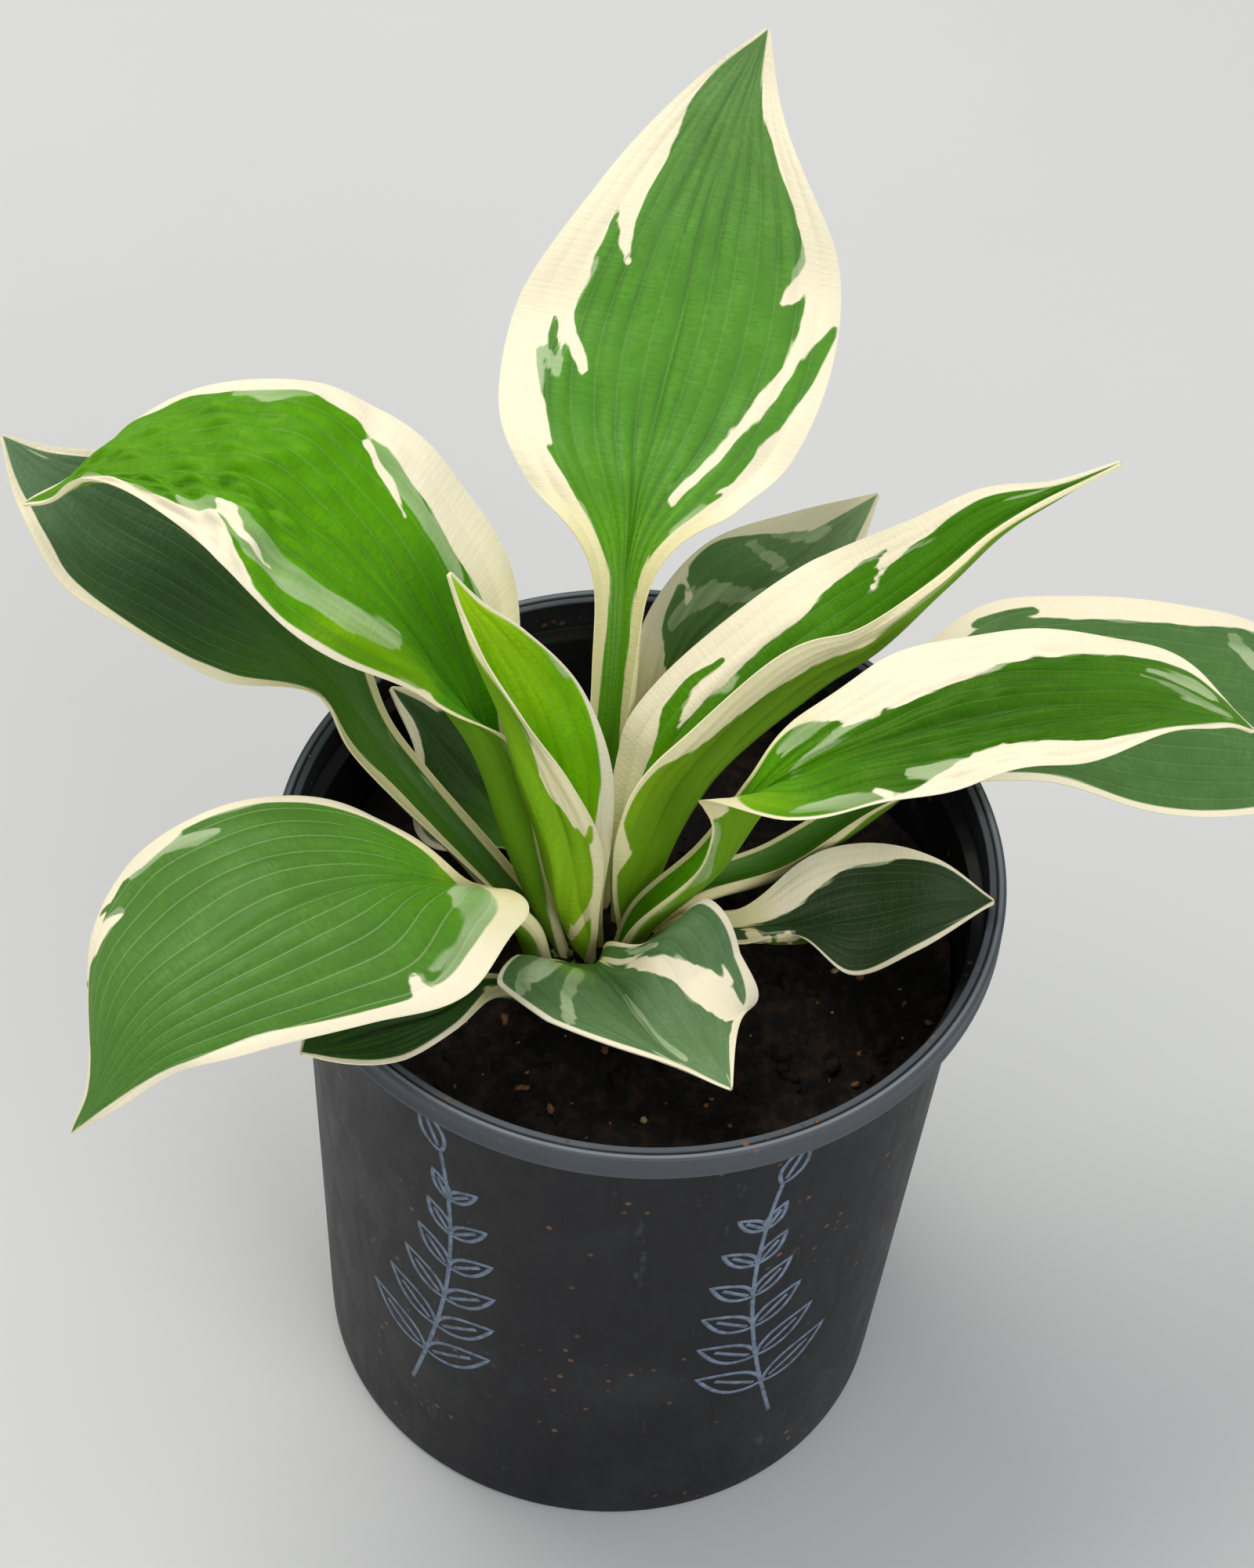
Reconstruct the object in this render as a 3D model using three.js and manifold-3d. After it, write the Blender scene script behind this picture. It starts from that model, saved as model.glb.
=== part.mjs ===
// A hosta with cream-edged leaves, growing in a black nursery pot of about 2.5 litres.
// Millimetres, +Z up. The origin is the centre of the pot's foot, on the surface it stands on.
import * as THREE from "three";
import { mergeVertices } from "three/addons/utils/BufferGeometryUtils.js";
import Module from "manifold-3d";

const wasm = await Module();
wasm.setup();

// Pot: a tapered moulded shell with a rim band and a stacking ledge inside.
const POT_HEIGHT = 169;
const RIM_OUTER_R = 82.5;
const RIM_INNER_R = 78.5;
const RIM_DEPTH = 7;
const RIM_ROUND = 0.8;
const RIM_GROOVE = { r: 80.4, halfWidth: 0.6, depth: 0.5 };
const LEDGE_DEPTH = 9;
const LEDGE_WIDTH = 3.2;
const WALL_TOP_R = 76.5;
const FOOT_R = 67.5;
const FOOT_ROUND = 1.5;
const WALL = 1.8;
const FLOOR = 2;
const POT_SIDES = 48;

// Under the pot a ring of the floor is raised, so its drain holes stay off the ground.
const CHANNEL = { inner: 22, outer: 56, slope: 4, rise: 3 };
const DRAIN = { count: 6, r: 5, ring: 40, depth: 20, sides: 20 };

// Potting mix: its rings of points, the dish round the crown, and its swells, each with a
// height, a length from crest to crest and a bearing in degrees.
const CLEARANCE = 0.3;
const FLOOR_CLEARANCE = 0.4;
const SOIL_TOP = 139;
const SOIL_RINGS = [0, 14, 21, 29, 38, 48, 58, 67];
const DISH = { r: 31, depth: 3.8 };
const SWELLS = [
  [0.9, 61, 20],
  [0.7, 43, 105],
  [0.4, 27, 160],
];

// Crown: the short rhizome that the stalks grow from, buried in the mix.
const CROWN = { x: -8.5, y: 3, r: 18.5, top: 134, sides: 32 };
const CROWN_SIDE = [
  [0, 106],
  [7, 108],
  [13, 116],
  [17, 127],
  [18.5, 132],
];

// Leaves: how finely each is divided, how thick its blade and its rib are, how its stalk is
// folded, and over which stations, counted from the end of the stalk, it opens into a blade.
const ROWS_PER_STATION = 2;
const COLUMNS = [-1, -0.72, -0.42, -0.14, 0, 0.14, 0.42, 0.72, 1];
const BLADE = 0.9;
const RIB = { depth: 2.7, reach: 4.5, share: 0.6 };
const STALK_FOLD = 50;
const STALK_RISE = 0.3;
const OPENING = [-0.5, 1];
const CARRY_STEPS = 10;
const SMALL_STEP = 0.001;
const LEAST_HALF_WIDTH = 0.5;

// Each leaf: the station where its stalk ends, how far its halves curl from midrib to edge in
// degrees, the wave of its edges, its basal lobes, and its stations from the crown to the tip:
// x, y, z of the midrib, half-widths left and right, and the tilts in degrees of both halves up
// from level. A lobe's edge is set back along the stalk by some millimetres, fading over its
// reach in stations, and rises by a share of that. Left and right are as seen from the crown.
const LEAVES = {
  leaf_back_tall: {
    stem: 3,
    curl: [-15, -15],
    wave: { height: 1.5, count: 3, left: 0.4, right: 0 },
    stations: [
      [-10.1, 13.4, 134.3, 3.5, 3.5, 15, 15],
      [-9.2, 21.4, 161.2, 5.6, 4.4, 15, 15],
      [-8.6, 35, 192.6, 7, 5.1, 15, 15],
      [-9, 50, 212, 9.4, 9.8, 15, 15],
      [-8, 62, 220, 25, 23, 16, 14],
      [-6, 76, 229, 36, 33, 8, 6],
      [-2, 96, 243, 38, 36, 4, 2],
      [2, 117, 260, 25.4, 29.6, 4, 4],
      [8, 134, 277, 12.6, 9.8, 10, 10],
      [12, 144, 290, 0.6, 0.6, 10, 10],
    ],
  },
  leaf_left_arched: {
    stem: 2,
    curl: [-20, -20],
    wave: { height: 2, count: 3, left: 0, right: 0.3 },
    lobe: { left: 2, right: 2, reach: 2.5, rise: 0 },
    stations: [
      [-15.2, 1.2, 134.3, 3.4, 3.4, 15, 15],
      [-27.5, 4, 165.6, 6.2, 4.4, 60, 10],
      [-37.8, 9.5, 195.2, 9.5, 8, 66, 20],
      [-49, 14, 214, 9.6, 30, 10, 25],
      [-63, 18, 234, 21.5, 36, 5, 15],
      [-77, 23, 246, 24.6, 37, 0, 10],
      [-90, 28, 253, 22, 34.5, 0, 10],
      [-110, 34, 246, 10, 28, 10, 10],
      [-127, 38, 238, 3.4, 15.5, 20, 10],
      [-136, 40, 229.5, 2.8, 4, 20, 10],
      [-143, 42, 223, 0.6, 0.6, 10, 10],
    ],
  },
  leaf_left_long: {
    stem: 4,
    curl: [-10, -10],
    stations: [
      [-21.5, 5.2, 134.3, 3.8, 3.8, 15, 15],
      [-35, 9, 150, 6.5, 5, 10, 20],
      [-53, 17, 168, 11.4, 5, 5, 20],
      [-64, 24, 178, 12.6, 5.6, 0, 20],
      [-74, 31, 187, 10.8, 11, 10, 20],
      [-90, 38, 196, 20, 26, 5, 15],
      [-109, 45, 204, 22, 28, 5, 10],
      [-127, 51, 211, 21, 19, 5, 10],
      [-141, 55, 219, 12, 8, 10, 15],
      [-150, 58, 227, 0.6, 0.6, 10, 10],
    ],
  },
  leaf_front_broad: {
    stem: 2,
    curl: [-25, -30],
    lobe: { left: 25, right: 0, reach: 2.5, rise: 0.2 },
    stations: [
      [-21, -3.6, 134.3, 3.3, 3.3, 15, 15],
      [-26, -12, 160, 4.2, 4.2, 15, 15],
      [-39, -22, 182, 6, 2.4, 25, 20],
      [-50, -30, 193, 17, 18.5, 0, 20],
      [-62, -38, 198, 33, 29.5, -5, 15],
      [-76, -48, 199, 31, 35.5, -10, 10],
      [-92, -60, 195, 24, 39.5, -10, 0],
      [-104, -69, 187, 17, 29, -5, 0],
      [-112, -77, 172, 8, 5, 0, 0],
      [-117, -81, 159, 0.6, 0.6, 0, 0],
    ],
  },
  leaf_front_small: {
    stem: 2,
    curl: [-10, -10],
    stations: [
      [-13.6, -9.8, 134.3, 3, 3, 15, 15],
      [-22.5, -18.5, 142, 3, 3, 15, 15],
      [-32, -26.5, 152.8, 3.6, 3, 15, 5],
      [-41, -45.5, 167, 5.6, 7.6, -10, 5],
      [-53, -55.6, 173.2, 10, 16.4, 0, 5],
      [-62, -61.6, 174.2, 7, 11, 5, 5],
      [-69, -66.6, 176, 0.6, 0.6, 0, 0],
    ],
  },
  leaf_front_heart: {
    stem: 1,
    curl: [-10, -25],
    lobe: { left: 0, right: 8, reach: 1, rise: 0 },
    stations: [
      [-5.7, -10.3, 134.3, 3, 3, 15, 15],
      [-8.2, -13, 147, 5, 5, 15, 15],
      [-5, -19, 150, 12, 22, 20, 56],
      [-1.3, -26.3, 153, 29, 32, 32, 52],
      [2.6, -34.5, 156, 27, 24, 8, 48],
      [10, -45.5, 159, 24, 4.6, -12, 38],
      [23.8, -55.8, 162, 0.6, 0.6, 0, 10],
    ],
  },
  leaf_right_small: {
    stem: 2,
    curl: [-10, -10],
    stations: [
      [3.5, 0.2, 134.3, 3, 3, 15, 15],
      [11.5, 0.4, 144.7, 3.5, 3.8, 15, 15],
      [24, -0.6, 148.7, 4.4, 8, 20, 5],
      [36, -1.4, 151.5, 14.5, 4, 30, 30],
      [50, -2, 158, 20, 17, 15, 5],
      [65, -4, 168, 12.4, 14, 10, 5],
      [79, -6, 173, 0.6, 0.6, 5, 5],
    ],
  },
  leaf_right_upper: {
    stem: 3,
    curl: [-20, -20],
    wave: { height: 1.5, count: 4, left: 0, right: 0.3 },
    lobe: { left: 0, right: 11.5, reach: 1, rise: 1.6 },
    stations: [
      [-3.3, -2.6, 134.3, 3.1, 3.1, 15, 15],
      [2, -3.6, 153.5, 4.6, 4.6, 15, 15],
      [15, -6, 178, 4.8, 4.8, 15, 15],
      [24, -6, 202, 4.6, 10, 15, 40],
      [34, -5, 212, 11.8, 15.8, 30, 3],
      [50, -3, 221, 17, 16.6, 25, 5],
      [68, 1, 227, 21, 16.4, 20, 0],
      [88, 5, 229, 18, 15, 20, 0],
      [108, 8, 228, 16, 9, 20, 5],
      [122, 9, 225, 6, 3, 15, 5],
      [130, 9, 221, 0.6, 0.6, 10, 10],
    ],
  },
  leaf_right_lower: {
    stem: 3,
    curl: [-15, -15],
    stations: [
      [4.3, 9.5, 134.3, 3.4, 3.4, 15, 15],
      [14, 11, 147.2, 4.2, 4.2, 15, 15],
      [33, 19, 150.4, 5.4, 5, 15, 15],
      [53, 29, 163.8, 6.4, 6.4, 20, 20],
      [66, 38, 173, 20, 13, 20, 15],
      [83, 44, 181, 28.3, 20, 15, 5],
      [103, 50, 182, 28, 29, 10, 0],
      [124, 54, 178, 27.6, 30.4, 10, 0],
      [144, 57, 171, 26, 23.5, 10, 0],
      [158, 58, 166, 10, 9, 5, 0],
      [167, 59, 161, 0.6, 0.6, 0, 0],
    ],
  },
  leaf_right_folded: {
    stem: 1,
    curl: [-10, 0],
    stations: [
      [-2.7, 6.5, 134.3, 3.1, 3.1, 15, 15],
      [1.6, 6, 158, 10, 9.6, 30, 60],
      [8, 9, 178, 21, 17, 30, 80],
      [16, 15, 190, 23.5, 12.6, 30, 90],
      [34, 25, 205, 25, 12.4, 25, 95],
      [47, 30, 214, 26, 7, 20, 95],
      [60, 35, 230, 18.5, 3, 20, 90],
      [71, 40, 243, 12, 2, 20, 80],
      [83, 43, 254, 3.4, 1.4, 20, 60],
      [95, 45, 263, 0.6, 0.6, 10, 10],
    ],
  },
  leaf_centre_rolled: {
    stem: 1,
    curl: [0, 10],
    stations: [
      [-9.3, -0.2, 134.3, 3, 3, 20, 20],
      [-14.8, -2.6, 154, 8, 7.6, 60, 40],
      [-20, -2.4, 173, 12, 14, 100, 52],
      [-26, 0, 192, 10, 18.6, 100, 56],
      [-32, 3, 212, 8, 17.2, 64, 51],
      [-38.3, 7, 227, 5, 10.8, 40, 50],
      [-42.3, 10, 236, 3, 4.2, 30, 40],
      [-46, 12, 245, 0.6, 0.6, 10, 10],
    ],
  },
  leaf_back_right: {
    stem: 3,
    curl: [-10, -10],
    stations: [
      [-2.2, 15.8, 134.3, 3.2, 3.2, 15, 15],
      [-1, 25, 152, 4.2, 4.2, 15, 15],
      [0, 36, 167, 5, 5, 15, 15],
      [2, 44, 177, 8, 8, 20, 20],
      [8, 54, 185, 13, 18, 20, 10],
      [20, 65, 192, 15.5, 20, 15, 5],
      [34, 76, 197, 10, 14, 10, 5],
      [47, 84, 206, 0.6, 0.6, 0, 0],
    ],
  },
  leaf_back_left: {
    stem: 2,
    curl: [-5, -5],
    stations: [
      [-17.4, 13.4, 134.3, 2.9, 2.9, 15, 15],
      [-24, 19.5, 141.6, 3.8, 4.2, 15, 15],
      [-32, 26.8, 147.3, 16.2, 8, -15, 20],
      [-42, 33, 154.4, 20, 14, -5, 20],
      [-52, 38, 164.6, 10, 10, 20, 20],
      [-60, 40, 174, 0.6, 0.6, 10, 10],
    ],
  },
  leaf_centre_bud: {
    stem: 1,
    curl: [30, 30],
    turn: 40,
    stations: [
      [-11.7, 8.2, 134.3, 2, 2, 50, 50],
      [-10.6, 7.4, 143, 2.4, 2.4, 60, 60],
      [-9.9, 6.2, 154, 2.5, 2.5, 60, 60],
      [-9.2, 4.8, 166, 0.6, 0.6, 40, 40],
    ],
  },
};

const UP = new THREE.Vector3(0, 0, 1);
const NO_WAVE = { height: 0, count: 0, left: 0, right: 0 };
const NO_LOBE = { left: 0, right: 0, reach: 1, rise: 0 };
const { clamp, smoothstep, degToRad } = THREE.MathUtils;

// Columns of a leaf's stations as one smooth curve, read at a place counted in stations.
function curveThrough(stations, columns) {
  const points = stations.map((row) => new THREE.Vector3(...columns.map((c) => row[c])));
  const curve = new THREE.CatmullRomCurve3(points, false, "catmullrom", 0.5);
  const last = stations.length - 1;
  return (place) => curve.getPoint(clamp(place, 0, last) / last);
}

// The direction of growth: each stalk leaves the crown straight up.
function directionAt(midrib, place) {
  const along = midrib(place + SMALL_STEP).sub(midrib(place - SMALL_STEP)).normalize();
  return UP.clone().lerp(along, clamp(place / STALK_RISE, 0, 1)).normalize();
}

// The upper side of a leaf, carried along the midrib without twisting.
function upperSides(leaf, midrib, last) {
  const [x, y] = leaf.stations[0];
  const [tipX, tipY] = leaf.stations[last];
  const bearing = Math.atan2(y - tipY, x - tipX) + degToRad(leaf.turn ?? 0);
  const side = new THREE.Vector3(Math.cos(bearing), Math.sin(bearing), 0);
  return Array.from({ length: last * CARRY_STEPS + 1 }, (_, i) => {
    const along = directionAt(midrib, i / CARRY_STEPS);
    return side.addScaledVector(along, -side.dot(along)).normalize().clone();
  });
}

// What holds for the whole of a leaf.
function formOf(leaf) {
  const last = leaf.stations.length - 1;
  const midrib = curveThrough(leaf.stations, [0, 1, 2]);
  return {
    last,
    midrib,
    stem: leaf.stem,
    curl: leaf.curl,
    wave: leaf.wave ?? NO_WAVE,
    lobe: leaf.lobe ?? NO_LOBE,
    widths: curveThrough(leaf.stations, [3, 4, 4]),
    tilts: curveThrough(leaf.stations, [5, 6, 6]),
    uppers: upperSides(leaf, midrib, last),
  };
}

// What holds for one row of points across a leaf.
function rowOf(form, place) {
  const { stem, last, wave } = form;
  const along = directionAt(form.midrib, place);
  const upward = form.uppers[Math.round(place * CARRY_STEPS)];
  const opened = smoothstep(place, stem + OPENING[0], stem + OPENING[1]);
  const grown = clamp((place - stem) / (last - stem), 0, 1);
  const fade = Math.exp(-(((place - stem) / form.lobe.reach) ** 2));
  const width = form.widths(place);
  const tilt = form.tilts(place);
  const halfOf = (side, w, lean, phase, back) => ({
    w: Math.max(w, LEAST_HALF_WIDTH),
    tilt: degToRad(lean),
    curl: degToRad(form.curl[side] * opened + STALK_FOLD * (1 - opened)) || SMALL_STEP,
    wave: wave.height * Math.sin(2 * Math.PI * (wave.count * grown + phase)) * Math.sin(Math.PI * grown),
    back: back * opened * fade,
  });
  const halves = [
    halfOf(0, width.x, tilt.x, wave.left, form.lobe.left),
    halfOf(1, width.y, tilt.y, wave.right, form.lobe.right),
  ];
  const rightward = new THREE.Vector3().crossVectors(along, upward);
  return { middle: form.midrib(place), along, upward, rightward, grown, halves, rise: form.lobe.rise };
}

// A point of the upper face and the one under it, at s from -1 on the left edge to 1 on the right.
function pairAt(row, s) {
  const { w, tilt, curl, wave, back } = row.halves[s < 0 ? 0 : 1];
  const m = Math.abs(s);
  const slope = tilt + curl * m;
  const across = (w * (Math.sin(slope) - Math.sin(tilt))) / curl;
  const lift = (w * (Math.cos(tilt) - Math.cos(slope))) / curl;
  const upper = row.middle
    .clone()
    .addScaledVector(row.rightward, Math.sign(s) * across)
    .addScaledVector(row.upward, lift + (wave + row.rise * back) * m * m)
    .addScaledVector(row.along, -back * m * m);
  const lean = m === 0 ? (row.halves[1].tilt - row.halves[0].tilt) / 2 : Math.sign(s) * slope;
  const deepest = Math.min(RIB.depth, RIB.share * w) * (1 - row.grown);
  const thickness = BLADE + deepest * Math.max(0, 1 - ((m * w) / RIB.reach) ** 2);
  const lower = upper
    .clone()
    .addScaledVector(row.upward, -Math.cos(lean) * thickness)
    .addScaledVector(row.rightward, Math.sin(lean) * thickness);
  return { upper, lower };
}

// One closed sheet: the upper face, the lower face and the rim between them.
function leafGeometry(leaf) {
  const form = formOf(leaf);
  const rows = form.last * ROWS_PER_STATION;
  const columns = COLUMNS.length;
  const pairs = Array.from({ length: rows + 1 }, (_, r) => rowOf(form, r / ROWS_PER_STATION))
    .flatMap((row) => COLUMNS.map((s) => pairAt(row, s)));
  const index = [];
  for (let r = 0; r < rows; r += 1) {
    for (let c = 0; c < columns - 1; c += 1) {
      const a = r * columns + c;
      const d = a + columns + 1;
      index.push(a, a + 1, d, a, d, a + columns);
      index.push(...[a, d, a + 1, a, a + columns, d].map((i) => i + pairs.length));
    }
  }
  const rim = [];
  for (let c = 0; c < columns - 1; c += 1) rim.push(c);
  for (let r = 0; r < rows; r += 1) rim.push(r * columns + columns - 1);
  for (let c = columns - 1; c > 0; c -= 1) rim.push(rows * columns + c);
  for (let r = rows; r > 0; r -= 1) rim.push(r * columns);
  rim.forEach((a, i) => {
    const b = rim[(i + 1) % rim.length];
    index.push(a, a + pairs.length, b + pairs.length, a, b + pairs.length, b);
  });
  const points = [...pairs.map((pair) => pair.upper), ...pairs.map((pair) => pair.lower)];
  return new THREE.BufferGeometry().setFromPoints(points).setIndex(index);
}

// From three.js geometry to a manifold-3d solid and back.
function solidOf(geometry) {
  const bare = geometry.clone();
  bare.deleteAttribute("normal");
  bare.deleteAttribute("uv");
  const merged = mergeVertices(bare);
  return new wasm.Manifold(
    new wasm.Mesh({
      numProp: 3,
      vertProperties: merged.attributes.position.array,
      triVerts: new Uint32Array(merged.index.array),
    }),
  );
}

function geometryOf(solid) {
  const mesh = solid.getMesh();
  const geometry = new THREE.BufferGeometry();
  geometry.setAttribute("position", new THREE.BufferAttribute(mesh.vertProperties, 3));
  geometry.setIndex(new THREE.BufferAttribute(mesh.triVerts, 1));
  return geometry;
}

// A profile of [r, z] pairs turned about the Z axis.
function turned(profile, sides) {
  const points = profile.map(([r, z]) => new THREE.Vector2(r, z));
  return new THREE.LatheGeometry(points, sides).rotateX(Math.PI / 2);
}

// The top of the pot's floor from its wall to its centre, lifted by some height.
function floorProfile(wallR, lift) {
  return [
    [wallR, FLOOR + lift],
    [CHANNEL.outer + CHANNEL.slope, FLOOR + lift],
    [CHANNEL.outer, FLOOR + CHANNEL.rise + lift],
    [CHANNEL.inner, FLOOR + CHANNEL.rise + lift],
    [CHANNEL.inner - CHANNEL.slope, FLOOR + lift],
    [0, FLOOR + lift],
  ];
}

function potGeometry() {
  const rimFoot = POT_HEIGHT - RIM_DEPTH;
  const ledge = POT_HEIGHT - LEDGE_DEPTH;
  const shell = solidOf(
    turned(
      [
        [0, 0],
        [CHANNEL.inner - CHANNEL.slope, 0],
        [CHANNEL.inner, CHANNEL.rise],
        [CHANNEL.outer, CHANNEL.rise],
        [CHANNEL.outer + CHANNEL.slope, 0],
        [FOOT_R - FOOT_ROUND, 0],
        [FOOT_R, FOOT_ROUND],
        [WALL_TOP_R, rimFoot - LEDGE_WIDTH],
        [RIM_OUTER_R - RIM_ROUND, rimFoot],
        [RIM_OUTER_R, rimFoot + RIM_ROUND],
        [RIM_OUTER_R, POT_HEIGHT - RIM_ROUND],
        [RIM_OUTER_R - RIM_ROUND, POT_HEIGHT],
        [RIM_GROOVE.r + RIM_GROOVE.halfWidth, POT_HEIGHT],
        [RIM_GROOVE.r, POT_HEIGHT - RIM_GROOVE.depth],
        [RIM_GROOVE.r - RIM_GROOVE.halfWidth, POT_HEIGHT],
        [RIM_INNER_R + RIM_ROUND / 2, POT_HEIGHT],
        [RIM_INNER_R, POT_HEIGHT - RIM_ROUND],
        [RIM_INNER_R, ledge + RIM_ROUND],
        [RIM_INNER_R - LEDGE_WIDTH, ledge - RIM_ROUND],
        ...floorProfile(FOOT_R - WALL, 0),
      ],
      POT_SIDES,
    ),
  );
  const drilled = Array.from({ length: DRAIN.count }).reduce((pot, _, i) => {
    const angle = (2 * Math.PI * i) / DRAIN.count;
    const drain = new THREE.CylinderGeometry(DRAIN.r, DRAIN.r, DRAIN.depth, DRAIN.sides)
      .rotateX(Math.PI / 2)
      .translate(DRAIN.ring * Math.cos(angle), DRAIN.ring * Math.sin(angle), 0);
    return pot.subtract(solidOf(drain));
  }, shell);
  return geometryOf(drilled);
}

function crownGeometry() {
  const profile = [...CROWN_SIDE, [CROWN.r, CROWN.top], [0, CROWN.top]];
  return turned(profile, CROWN.sides).translate(CROWN.x, CROWN.y, 0);
}

// The room that the crown and the stalks above it take up in the potting mix.
function crownHole() {
  const side = CROWN_SIDE.map(([r, z]) => [r === 0 ? 0 : r + CLEARANCE, z - CLEARANCE]);
  const profile = [...side, [CROWN.r + CLEARANCE, POT_HEIGHT], [0, POT_HEIGHT]];
  return turned(profile, CROWN.sides).translate(CROWN.x, CROWN.y, 0);
}

// Uneven ground, dished round the crown.
function soilHeight(x, y) {
  const fromCrown = Math.hypot(x - CROWN.x, y - CROWN.y);
  const dish = DISH.depth * (1 - smoothstep(fromCrown, CROWN.r, DISH.r));
  return SWELLS.reduce((z, [height, length, bearing]) => {
    const along = x * Math.cos(degToRad(bearing)) + y * Math.sin(degToRad(bearing));
    return z + height * Math.sin((2 * Math.PI * along) / length);
  }, SOIL_TOP - dish);
}

function soilGeometry() {
  const footR = FOOT_R - WALL - CLEARANCE;
  const taper = (WALL_TOP_R - FOOT_R) / (POT_HEIGHT - RIM_DEPTH);
  const profile = [
    ...floorProfile(footR, FLOOR_CLEARANCE).reverse(),
    [footR + taper * SOIL_TOP, SOIL_TOP],
    ...SOIL_RINGS.toReversed().map((r) => [r, SOIL_TOP]),
  ];
  const geometry = turned(profile, POT_SIDES);
  const position = geometry.getAttribute("position");
  for (let i = 0; i < position.count; i += 1) {
    if (position.getZ(i) < SOIL_TOP - CLEARANCE) continue;
    position.setZ(i, soilHeight(position.getX(i), position.getY(i)));
  }
  return geometryOf(solidOf(geometry).subtract(solidOf(crownHole())));
}

const MATERIALS = {
  leaf: new THREE.MeshStandardMaterial({ color: "#5c9432", roughness: 0.45, metalness: 0 }),
  pot: new THREE.MeshStandardMaterial({ color: "#26262e", roughness: 0.5, metalness: 0 }),
  soil: new THREE.MeshStandardMaterial({ color: "#2b2019", roughness: 0.95, metalness: 0 }),
  crown: new THREE.MeshStandardMaterial({ color: "#b9ad84", roughness: 0.8, metalness: 0 }),
};

function named(name, geometry, material) {
  const mesh = new THREE.Mesh(geometry, material);
  mesh.name = name;
  return mesh;
}

const group = new THREE.Group();
group.name = "potted_hosta";
group.add(named("pot", potGeometry(), MATERIALS.pot));
group.add(named("soil", soilGeometry(), MATERIALS.soil));
group.add(named("crown", crownGeometry(), MATERIALS.crown));
for (const [name, leaf] of Object.entries(LEAVES)) {
  group.add(named(name, leafGeometry(leaf), MATERIALS.leaf));
}

export default group;
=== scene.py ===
# %% [markdown]
# A hosta with cream-edged leaves, growing in a black nursery pot of about 2.5 litres.
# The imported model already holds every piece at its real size, so this lesson only dresses it.
# Each leaf is replaced by a finer one of the same form, the pot and the potting mix by finer
# ones too, and the crown keeps its solid and gets a new finish.

import math

import bmesh
import bpy
import numpy as np
from mathutils import Matrix, Vector, noise


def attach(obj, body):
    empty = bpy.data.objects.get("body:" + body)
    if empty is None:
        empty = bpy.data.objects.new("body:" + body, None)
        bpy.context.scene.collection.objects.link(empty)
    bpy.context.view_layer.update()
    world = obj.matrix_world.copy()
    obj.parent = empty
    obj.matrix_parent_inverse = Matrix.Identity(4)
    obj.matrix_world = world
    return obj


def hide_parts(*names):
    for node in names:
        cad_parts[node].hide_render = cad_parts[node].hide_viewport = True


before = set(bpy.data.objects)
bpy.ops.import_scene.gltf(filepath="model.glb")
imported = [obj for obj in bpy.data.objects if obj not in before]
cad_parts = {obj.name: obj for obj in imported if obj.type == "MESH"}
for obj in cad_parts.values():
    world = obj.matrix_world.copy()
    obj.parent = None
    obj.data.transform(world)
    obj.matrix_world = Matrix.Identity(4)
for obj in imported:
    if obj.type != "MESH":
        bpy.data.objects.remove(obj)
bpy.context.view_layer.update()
MM = 0.001
print("nodes:", ", ".join(sorted(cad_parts)))

# %% [markdown]
# The photograph looks down on the plant from the front, about 50 degrees above level, with a
# long lens and the camera tilted a little. A long lens keeps the pot's sides nearly parallel.
# The camera aims at a point in the middle of the leaves and stands back along its own view.

# %% Camera
LENS = 108
SENSOR = 36
AIM = Vector((-4.6, 0, 195)) * MM
DISTANCE = 1035 * MM
ELEVATION = math.radians(50)
ROLL = math.radians(5.04)

camera_data = bpy.data.cameras.new("camera")
camera_data.lens = LENS
camera_data.sensor_width = SENSOR
camera = bpy.data.objects.new("camera", camera_data)
turn = Matrix.Rotation(math.pi / 2 - ELEVATION, 4, "X") @ Matrix.Rotation(ROLL, 4, "Z")
camera.matrix_world = Matrix.Translation(AIM) @ turn @ Matrix.Translation((0, 0, DISTANCE))
bpy.context.scene.collection.objects.link(camera)
bpy.context.scene.camera = camera
print("camera at", [round(c, 3) for c in camera.matrix_world.translation])

# %% [markdown]
# The plant was photographed in the open shade, so its light is broad and soft, from above and
# a little from the left. A large lamp above stands for the bright sky, a pale world fills the
# shadows, and a weak lamp in front lifts the pot's wall. Standard colour keeps the cream of the
# leaf margins as bright as it is in the photograph.

# %% Lights
SKY = (0.90, 0.95, 1.0)
SKY_STRENGTH = 0.6
LAMPS = {
    "key": {"at": (-0.75, 0.55, 1.75), "size": 1.3, "watts": 25, "tint": (1.0, 0.98, 0.94)},
    "fill": {"at": (0.9, -1.1, 1.0), "size": 1.2, "watts": 11, "tint": (0.94, 0.97, 1.0)},
}

world = bpy.data.worlds.new("open_shade")
bpy.context.scene.world = world
world.use_nodes = True
world.node_tree.nodes["Background"].inputs["Color"].default_value = (*SKY, 1)
world.node_tree.nodes["Background"].inputs["Strength"].default_value = SKY_STRENGTH
bpy.context.scene.view_settings.view_transform = "Standard"

for lamp_name, lamp in LAMPS.items():
    light = bpy.data.lights.new(lamp_name, "AREA")
    light.shape = "DISK"
    light.size = lamp["size"]
    light.energy = lamp["watts"]
    light.color = lamp["tint"]
    holder = bpy.data.objects.new(lamp_name, light)
    holder.location = lamp["at"]
    holder.rotation_euler = (holder.location - AIM).to_track_quat("Z", "Y").to_euler()
    bpy.context.scene.collection.objects.link(holder)
print("lamps:", list(LAMPS))

# %% [markdown]
# Every finish here is built from nodes. These helpers keep each of them short: one adds a node
# and feeds its sockets with numbers or with other nodes' outputs, and the rest name the few
# kinds of node that are used again and again. Colours are written as they look on a screen,
# from 0 to 255, and turned to the linear values that a renderer needs.


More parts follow.
